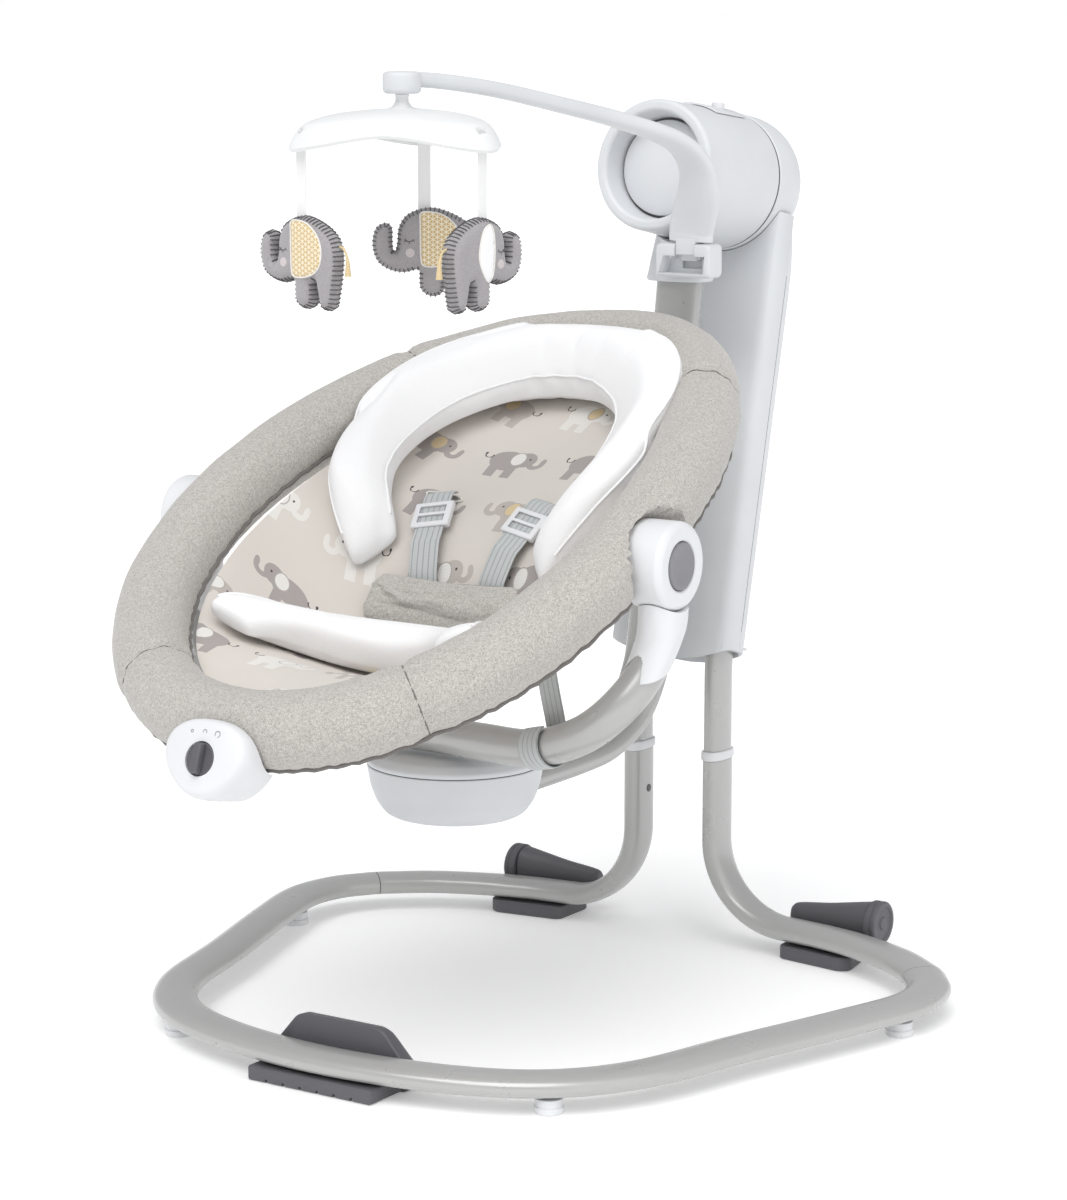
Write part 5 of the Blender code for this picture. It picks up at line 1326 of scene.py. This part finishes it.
def strap_centre(mix, side, lift):
    x = STRAP_LOW[0] + (STRAP_TOP[0] - STRAP_LOW[0]) * mix
    y = STRAP_LOW[1] + (STRAP_TOP[1] - STRAP_LOW[1]) * mix
    low = sling(STRAP_LOW[0], STRAP_LOW[1])
    high = sling(STRAP_TOP[0], STRAP_TOP[1])
    return SEAT_FRAME @ Vector((side * x, y, low + (high - low) * mix + lift))


def build_harness():
    """Shoulder straps from under the crotch pad to their slots, each through a ladder lock."""
    for side, word in SIDES:
        low, high = strap_centre(0.0, side, 0.0125), strap_centre(1.0, side, 0.0095)
        along = (high - low).normalized()
        across = (X_AXIS - along * X_AXIS.dot(along)).normalized()
        up = across.cross(along)
        place = frame_at(low, across, along, up)
        length = (high - low).length
        slope = (STRAP_TOP[0] - STRAP_LOW[0]) / (STRAP_TOP[1] - STRAP_LOW[1])
        tucked = [sling_point(side * (STRAP_LOW[0] + slope * (y - STRAP_LOW[1])), y, lift)
                  for y, lift in ((-0.03, 0.0038), (-0.018, 0.0045), (-0.007, 0.0085))]
        line = [(0.0, 0.007, 0.0005), (0.0, 0.013, 0.0008), (0.0, 0.018, 0.0008),
                (0.0, length - 0.012, 0.0008), (0.0, length - 0.004, 0.0),
                (0.0, length + 0.0005, -0.003), (0.0, length + 0.003, -0.007)]
        path = smooth_path(tucked + [place @ Vector(p) for p in line], 8)
        piece("webbing_" + word, strip(path, 0.025, 0.0016, across, 28), WEBBING, "seat",
              ["shoulder_strap_" + word])
        middle = length * STRAP_MIDDLE
        body = plain_object("ladder_lock_" + word, box((-0.017, middle - 0.0125, -0.002),
                                                      (0.017, middle + 0.0125, 0.0036), place, 0.0016))
        combine(body, box((-0.013, middle - 0.03, -0.0005), (0.013, middle + 0.03, 0.0021), place))
        combine(body, box((-0.0118, middle - 0.0082, 0.0015), (0.0118, middle - 0.0012, 0.005), place,
                          0.0006))
        combine(body, box((-0.0118, middle + 0.0012, 0.0015), (0.0118, middle + 0.0082, 0.005), place,
                          0.0006))
        soften(body, 0.0005)
        settle(body, WHITE_PLASTIC, "adjuster_" + word, ["strap_adjuster_" + word])
        spot = SEAT_FRAME.inverted() @ strap_centre(1.06, side, 0.0)
        line = [sling_point(spot.x + 0.0165 * math.cos(q), spot.y + 0.0042 * math.sin(q), 0.001)
                for q in turns(48)]
        piece("strap_slot_" + word, tube(line, circle(0.0008, 8), SEAT_OUT, True), PALE_STITCH,
              "seat")


def build_hinges():
    for side, word in SIDES:
        axis = Vector((side, 0, 0))
        inner, outer = HINGE_FACES
        profile = [(0.0, inner), (HINGE_RADIUS - 0.001, inner), (HINGE_RADIUS, inner + 0.0015),
                   (HINGE_RADIUS, outer - 0.005), (HINGE_RADIUS - 0.0012, outer - 0.0022),
                   (HINGE_RADIUS - 0.0045, outer), (BUTTON_RADIUS + 0.0022, outer),
                   (BUTTON_RADIUS + 0.0004, outer - 0.0016),
                   (BUTTON_RADIUS + 0.0004, inner + 0.0125), (0.0, inner + 0.0125)]
        piece("hinge_shell_" + word, turned(profile, (0.0, HINGE.y, HINGE.z), axis, 96, 0.001),
              WHITE_PLASTIC, "seat", ["hinge_housing_" + word], 34)
        key = [(0.0, inner + 0.0165), (BUTTON_RADIUS, inner + 0.0165), (BUTTON_RADIUS, outer - 0.0012),
               (BUTTON_RADIUS - 0.0006, outer - 0.0003), (BUTTON_RADIUS - 0.0018, outer),
               (0.012, outer - 0.0016), (0.006, outer - 0.0025), (0.0, outer - 0.0028)]
        piece("recline_key_face_" + word, turned(key, (0.0, HINGE.y, HINGE.z), axis, 72), GREY_KEY,
              "recline_key_" + word, ["recline_button_" + word], 40)


def build_pod():
    outline = []
    for i in range(96):
        a = 2 * math.pi * i / 96
        x, y = math.cos(a), math.sin(a)
        narrow = 1.0 if y > 0 else 1.0 - 0.3 * abs(y) ** 1.5
        outline.append((0.0365 * math.copysign(abs(x) ** 0.85, x) * narrow,
                        (0.024 if y > 0 else 0.034) * math.copysign(abs(y) ** 0.9, y)))
    rings = []
    rows = smooth_path([(0.03, 0.86), (0.005, 0.97), (-0.006, 0.998), (-0.011, 0.99),
                        (-0.0148, 0.955), (-0.017, 0.89), (-0.018, 0.8)], 4)
    for depth, grow in rows:
        rings.append([POD_FRAME @ Vector((x * grow, y * grow, depth)) for x, y in outline])
    rings.append([POD_FRAME @ Vector((x * 0.4, y * 0.4, -0.0186)) for x, y in outline])
    pod = plain_object("pod_shell", loft(rings))
    path = [c for _, c, _, _ in rim_frames(120)]
    combine(pod, tube(path, circle(PAD_RADIUS + 0.0014, 48), SEAT_OUT, True))
    combine(pod, disc(0.0128, -0.02, 0.005, POD_FRAME @ DIAL_SPOT, -POD_OUT, 64))
    settle(pod, WHITE_PLASTIC, "seat", ["vibration_pod"], 34)
    dial = plain_object("pod_dial", turned([(0.0, 0.0), (0.0122, 0.0), (0.0122, 0.0118),
                                            (0.0112, 0.0125), (0.0085, 0.012), (0.0, 0.012)],
                                           POD_FRAME @ (DIAL_SPOT + Vector((0, 0, 0.0045))), POD_OUT,
                                           64, 0.0006))
    combine(dial, box((-0.0032, -0.011, -0.0145), (0.0032, 0.011, -0.007),
                      POD_FRAME @ Matrix.Translation(DIAL_SPOT), 0.0014), "UNION")
    settle(dial, DARK, "dial", ["vibration_dial"], 34)
    for k, x in enumerate((-0.0115, 0.0, 0.0115)):
        spot = POD_FRAME @ Vector((x, 0.0135 - 0.0006 * abs(x) / 0.0115, -0.0177))
        mark = turned([(0.0007 + 0.0006 * k, -0.0003), (0.0013 + 0.0006 * k, -0.0003),
                       (0.0013 + 0.0006 * k, 0.0007), (0.0007 + 0.0006 * k, 0.0007)], spot, POD_OUT, 24)
        piece("level_mark_%d" % (k + 1), mark, GREY_KEY, "seat")


def build_retaining_straps():
    for side, word in SIDES:
        centre = Vector((side * 0.13, -0.1455, 0.2592))
        along = Vector((0.92 * side, -0.19, 0.24)).normalized()
        up = (Z_AXIS - along * along.z).normalized()
        out = along.cross(up) * side
        radius = CARRIER_RADIUS + 0.0019
        line = [centre - out * radius + up * STRAP_REACH, centre - out * radius + up * 0.036,
                centre - out * (radius + 0.0004) + up * 0.018]
        line += [around(centre, out, up, radius, math.radians(180 + 25 * i)) for i in range(11)]
        path = smooth_path(line, 6)
        strap = plain_object("keeper_strap_" + word, strip(path, 0.021, 0.0014, along, 24))
        settle(strap, WEBBING, None, ["retaining_strap_" + word])
        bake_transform(strap)
        stud = turned([(0.0, 0.0), (0.0052, 0.0), (0.0052, 0.0008), (0.0042, 0.002), (0.003, 0.0023),
                       (0.0, 0.0016)], centre - out * (radius + 0.001) + up * 0.004, -out, 40, 0.0003)
        piece("press_stud_" + word, stud, WHITE_PLASTIC, "turntable")


# ---------------------------------------------------------------- toy mobile
def lobe_radius(angle):
    nearest = min(abs((math.degrees(angle) - a + 180) % 360 - 180) for a in TOY_ANGLES)
    return CANOPY_RADIUS * (1.0 - 0.3 * math.sin(math.radians(min(nearest, 60) * 1.5)) ** 1.6)


def toy_hook(angle):
    a = math.radians(angle)
    return MOBILE_TIP + Vector((0.079 * math.cos(a), 0.079 * math.sin(a), -0.0435))


def build_mobile():
    def section(s):
        width = 0.013 + 0.0275 / (1 + math.exp((s - 0.5) / 0.085))
        height = 0.016 - 0.002 * min(s / 0.4, 1.0) - 0.005 * max(s - 0.4, 0.0)
        return oval(width, height, 40, 2.4)
    path = smooth_path([(0.0495, 0.198, SOCKET_TOP + 5 * GAP), (0.05, 0.1975, 0.624),
                        (0.056, 0.193, 0.639), (0.063, 0.187, 0.656), (0.0655, 0.1775, 0.678),
                        (0.0595, 0.153, 0.699), (0.043, 0.098, 0.716), (0.029, 0.03, 0.73),
                        (0.017, -0.043, 0.743), (0.006, -0.106, 0.7505), (0.0, -0.145, 0.752)], 9)
    arm = plain_object("mobile_boom", tube(path, section, X_AXIS))
    combine(arm, box((0.0415, 0.1945, 0.5985), (0.0575, 0.203, 0.621), None, 0.001), "UNION")
    combine(arm, box((0.0406, 0.1872, 0.604), (0.0584, 0.2035, 0.6175), None, 0.001), "UNION")
    knuckle = turned([(0.0, -0.0085), (0.0145, -0.0085), (0.0145, 0.008), (0.0, 0.008)], MOBILE_TIP,
                     Z_AXIS, 72, 0.004)
    combine(arm, knuckle, "UNION")
    soften(arm, 0.001, 2, 40)
    settle(arm, PALE, "mobile", ["mobile_arm"], 34)

    top, under = [], []
    count = 120
    rows = smooth_path([(0.05, 0.0), (0.3, 0.0006), (0.6, 0.0038), (0.8, 0.0085), (0.88, 0.0125),
                        (0.94, 0.0185), (0.98, 0.025), (1.0, 0.029)], 4)
    for level, fall in rows:
        ring, low = [], []
        for i in range(count):
            a = 2 * math.pi * i / count
            r = lobe_radius(a) * level
            drop = fall * (lobe_radius(a) / CANOPY_RADIUS) ** 1.3
            ring.append(MOBILE_TIP + Vector((r * math.cos(a), r * math.sin(a), -0.0195 - drop)))
            inner = r - 0.0018 * min(max((level - 0.85) / 0.15, 0.0), 1.0)
            low.append(MOBILE_TIP + Vector((inner * math.cos(a), inner * math.sin(a),
                                            -0.0213 - drop - 0.0004 * level)))
        top.append(ring)
        under.append(low)
    canopy = plain_object("toy_canopy", loft(top + list(reversed(under))))
    stem = [(0.0, -0.0089), (0.0058, -0.0089), (0.0049, -0.0105), (0.005, -0.014), (0.0072, -0.0178),
            (0.0115, -0.0198), (0.018, -0.021), (0.018, -0.0222), (0.011, -0.029), (0.0, -0.03)]
    combine(canopy, turned(stem, MOBILE_TIP, Z_AXIS, 64, 0.0008), "UNION")
    for angle in TOY_ANGLES:
        a = math.radians(angle)
        turn = frame_at(MOBILE_TIP, (math.cos(a), math.sin(a), 0), (-math.sin(a), math.cos(a), 0),
                        Z_AXIS)
        combine(canopy, box((0.077, -0.0058, -0.06), (0.0812, 0.0058, -0.01), turn))
    settle(canopy, CANOPY_PLASTIC, "canopy", ["mobile_canopy"], 40)


ELEPHANT = ((-31, 22), (-37, 19), (-40, 11), (-40, 2), (-36, -8), (-27, -14), (-16, -16),
            (-5, -14), (-4, -22), (-3, -29), (3, -34), (10, -34), (15, -29), (15.5, -16), (18, -14),
            (20, -22), (23, -32), (28, -35), (34, -33), (37, -24), (40, -8), (41, 6), (38, 17),
            (30, 25), (18, 31), (6, 34), (-6, 32), (-15, 27), (-20, 18), (-21, 8), (-22.5, 1),
            (-24.5, 2), (-25, 10), (-25, 17), (-27, 21))
EAR_MOON = ((-2.5, 28), (5, 29), (15, 26.5), (24, 19), (28.5, 9), (27, -3), (20, -10), (9, -13),
            (0, -12.5), (-2.5, -8), (-3, 8), (-3, 20))
EAR_LEAF = ((2, 27), (8, 23), (12, 13), (13, 2), (9, -8), (3, -15), (-2, -10), (-4, 2), (-4, 15),
            (-2, 24))


def flat_distance(point, line):
    best = 1e9
    for a, b in zip(line, line[1:] + line[:1]):
        span = b - a
        t = min(max((point - a).dot(span) / max(span.length_squared, 1e-18), 0.0), 1.0)
        best = min(best, (a + span * t - point).length)
    return best


def within(point, line):
    inside = False
    for a, b in zip(line, line[1:] + line[:1]):
        if (a.y > point.y) != (b.y > point.y):
            if point.x < (b.x - a.x) * (point.y - a.y) / (b.y - a.y) + a.x:
                inside = not inside
    return inside


def stuffed(points, half, edge, spacing, place):
    """A flat sewn body from its outline in millimetres, crowned towards both faces."""
    line = [Vector(p) for p in smooth_path([(x / 1000, z / 1000) for x, z in points], 5, True)]
    xs, ys = [p.x for p in line], [p.y for p in line]
    inner = []
    row = 0
    y = min(ys)
    while y < max(ys):
        x = min(xs) + (spacing / 2 if row % 2 else 0.0)
        while x < max(xs):
            spot = Vector((x, y))
            if within(spot, line) and flat_distance(spot, line) > spacing * 0.45:
                inner.append(spot)
            x += spacing
        y += spacing * 0.87
        row += 1
    count = len(line)
    verts, _, faces, _, _, _ = delaunay_2d_cdt(line + inner, [], [list(range(count))], 1, 1e-7)
    bm = bmesh.new()
    made = {}
    for side in (-1, 1):
        for i, p in enumerate(verts):
            d = flat_distance(p, line)
            if d < 1e-6:
                if i not in made:
                    made[i] = bm.verts.new(place @ Vector((p.x, 0.0, p.y)))
                made[(side, i)] = made[i]
                continue
            full = 1 - min(d / edge, 1.0)
            y = side * half * math.sqrt(max(1 - full * full, 0.0))
            made[(side, i)] = bm.verts.new(place @ Vector((p.x, y, p.y)))
    layer = bm.loops.layers.uv.new("cloth")
    for side in (-1, 1):
        for face in faces:
            new = bm.faces.new([made[(side, i)] for i in face])
            for corner, i in zip(new.loops, face):
                corner[layer].uv = (verts[i].x, verts[i].y)
    return bm, line


def joined(parts):
    """One bmesh holding all of these."""
    total = bmesh.new()
    for part in parts:
        mesh = bpy.data.meshes.new("part")
        part.to_mesh(mesh)
        part.free()
        total.from_mesh(mesh)
        bpy.data.meshes.remove(mesh)
    return total


def build_toy(angle, word):
    hook = toy_hook(angle)
    a = math.radians(angle + TOY_FACING[word])
    place = frame_at(hook, (math.cos(a), math.sin(a), 0.0), (-math.sin(a), math.cos(a), 0.0), Z_AXIS)
    middle = place @ Matrix.Translation((0.0, 0.0, -0.088))
    body = "toy_" + word

    bm, line = stuffed(ELEPHANT, 0.0085, 0.01, 0.0024, middle)
    piece("elephant_" + word, bm, FELT, body, ["toy_" + word], 80)

    stitches = []
    total = [0.0]
    for p, q in zip(line, line[1:] + line[:1]):
        total.append(total[-1] + (q - p).length)
    count = int(total[-1] / STITCH_STEP)
    for n in range(count):
        want = total[-1] * n / count
        k = max(i for i in range(len(line)) if total[i] <= want)
        p, q = line[k], line[(k + 1) % len(line)]
        spot = p + (q - p) * ((want - total[k]) / max((q - p).length, 1e-9))
        normal = Vector((-(q - p).y, (q - p).x)).normalized()
        if not within(spot + normal * 0.0008, line):
            normal = -normal
        bite = []
        for depth, y in ((0.0026, -0.0061), (0.0012, -0.0045), (-0.0003, 0.0), (0.0012, 0.0045),
                         (0.0026, 0.0061)):
            at = spot + normal * depth
            bite.append(middle @ Vector((at.x, y, at.y)))
        stitches.append(tube(bite, circle(0.0005, 5),
                             middle.to_3x3() @ Vector((q.x - p.x, 0.0, q.y - p.y))))
    piece("edge_stitch_" + word, joined(stitches), STITCH, body)

    leaf = word == "right"
    for side, mark in ((-1, "a"), (1, "b")):
        shift = middle @ Matrix.Translation((0.0, side * 0.008, 0.002))
        ear, ear_line = stuffed(EAR_LEAF if leaf else EAR_MOON, 0.0016, 0.003, 0.0022, shift)
        piece("ear_%s_%s" % (word, mark), ear, WHITE_CLOTH if leaf else LATTICE, body, (), 80)
        rim = [shift @ Vector((p.x, side * 0.0006, p.y)) for p in ear_line]
        piece("ear_edge_%s_%s" % (word, mark),
              tube(rim, circle(0.0006, 6), middle.col[1].to_3d(), True), PALE_STITCH, body)
        lash = []
        for i in range(9):
            turn = math.radians(200 + 140 * i / 8)
            lash.append(middle @ Vector((-0.0115 + 0.0036 * math.cos(turn), side * 0.0084,
                                         0.0112 + 0.003 * math.sin(turn))))
        threads = [tube(lash, circle(0.00045, 6), middle.col[1].to_3d())]
        for i in (1, 4, 7):
            tip = lash[i] + (lash[i] - middle @ Vector((-0.0115, side * 0.0084, 0.0127))) * 0.45
            threads.append(tube([lash[i], tip], circle(0.0003, 5), middle.col[1].to_3d()))
        piece("eyelid_%s_%s" % (word, mark), joined(threads), STITCH, body)
        cheek = turned([(0.0, 0.0), (0.0036, 0.0), (0.0034, 0.0006), (0.0, 0.001)],
                       middle @ Vector((-0.011, side * 0.0083, -0.0005)), middle.col[1].to_3d() * side,
                       28)
        piece("cheek_%s_%s" % (word, mark), cheek, CHEEK, body)

    tail = [middle @ Vector(p) for p in smooth_path([(0.037, 0.0, 0.013), (0.044, 0.0, 0.011),
                                                     (0.0475, 0.0, 0.003), (0.048, 0.0, -0.009)], 5)]
    piece("tail_" + word, tube(tail, lambda s: circle(0.0009 + 0.004 * max(s - 0.55, 0.0), 8),
                               middle.col[1].to_3d()), BUTTER, body)

    ribbon = [(0.0, 0.0, 0.0032), (0.0, 0.0003, 0.0), (0.0, 0.0, -0.02), (0.0, -0.0003, -0.04),
              (0.0, 0.0, -0.056)]
    path = [place @ p for p in smooth_path(ribbon, 5)]
    piece("ribbon_" + word, strip(path, 0.01, 0.001, place.col[0].to_3d(), 12), RIBBON, body)


# ---------------------------------------------------------------- assembly
def dress_inside():
    """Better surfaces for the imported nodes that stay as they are."""
    for name, mat in (("rim_frame", SILVER), ("bearing_block", DARK), ("axle_bearing", STEEL),
                      ("drive_coil", COPPER), ("circuit_board", BOARD), ("power_inlet", DARK),
                      ("swing_shaft", STEEL), ("swivel_bearing", STEEL)):
        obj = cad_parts[name]
        obj.data.materials.clear()
        obj.data.materials.append(mat)


def pale_floor():
    """White studio floor; its own faint light thins the shadow, as in the photo."""
    m = Nodes("floor", (0.93, 0.93, 0.93), 0.75, Emission_Strength=0.2)
    shade = m.noise(m.place(), 0.6, 2.0)
    return m.paint(m.ramp(shade, (0.3, (0.925, 0.925, 0.925)), (0.7, (0.94, 0.94, 0.94))))


def sun(name, strength, angle, toward, colour=(1.0, 1.0, 1.0)):
    data = bpy.data.lights.new(name, "SUN")
    data.energy, data.angle, data.color = strength, math.radians(angle), colour
    obj = bpy.data.objects.new(name, data)
    obj.rotation_euler = (-Vector(toward)).to_track_quat("-Z", "Y").to_euler()
    bpy.context.scene.collection.objects.link(obj)


def build_studio():
    bm = bmesh.new()
    bmesh.ops.create_grid(bm, x_segments=4, y_segments=4, size=400.0)
    bmesh.ops.translate(bm, verts=bm.verts, vec=(0.0, 0.0, -0.0003))
    mesh = bpy.data.meshes.new("floor")
    bm.to_mesh(mesh)
    bm.free()
    mesh.materials.append(pale_floor())
    floor = bpy.data.objects.new("floor", mesh)
    bpy.context.scene.collection.objects.link(floor)

    world = bpy.data.worlds.new("studio")
    world.use_nodes = True
    tree = world.node_tree
    coords = tree.nodes.new("ShaderNodeTexCoord")
    split = tree.nodes.new("ShaderNodeSeparateXYZ")
    tree.links.new(coords.outputs["Generated"], split.inputs[0])
    ramp = tree.nodes.new("ShaderNodeValToRGB")
    ramp.color_ramp.elements[0].position = 0.02
    ramp.color_ramp.elements[0].color = (1.0, 1.0, 1.0, 1.0)
    ramp.color_ramp.elements[1].position = 0.12
    ramp.color_ramp.elements[1].color = (0.52, 0.525, 0.535, 1.0)
    tree.links.new(split.outputs[2], ramp.inputs[0])
    tree.links.new(ramp.outputs[0], tree.nodes["Background"].inputs["Color"])
    tree.nodes["Background"].inputs["Strength"].default_value = 1.0
    bpy.context.scene.world = world

    sun("key", 1.9, 50, (0.15, -0.65, 1.0))
    sun("fill", 0.5, 60, (0.9, -0.2, 0.55))

    data = bpy.data.cameras.new("camera")
    data.lens, data.sensor_width = CAMERA_LENS, 36.0
    data.clip_start, data.clip_end = 0.05, 900.0
    camera = bpy.data.objects.new("camera", data)
    camera.location = CAMERA_PLACE
    aim = CAMERA_AIM - camera.location
    camera.rotation_euler = aim.to_track_quat("-Z", "Y").to_euler()
    bpy.context.scene.collection.objects.link(camera)
    bpy.context.scene.camera = camera
    bpy.context.scene.view_settings.view_transform = "Standard"


def main():
    build_studio()
    dress_inside()
    build_base()
    build_feet()
    build_rear_feet()
    build_column()
    build_drum()
    build_controls()
    build_arm()
    build_carrier()
    pad = build_rim()
    build_sling()
    head, hips, crotch = build_inserts()
    swell([(head, 0.007), (hips, 0.004), (crotch, 0.003)])
    for obj in (head, hips, crotch):
        subdivided(obj)
    finish_rim(pad)
    finish_inserts(head, hips, crotch)
    build_harness()
    build_hinges()
    build_pod()
    build_retaining_straps()
    build_mobile()
    for angle, word in zip(TOY_ANGLES, TOY_NAMES):
        build_toy(angle, word)


main()
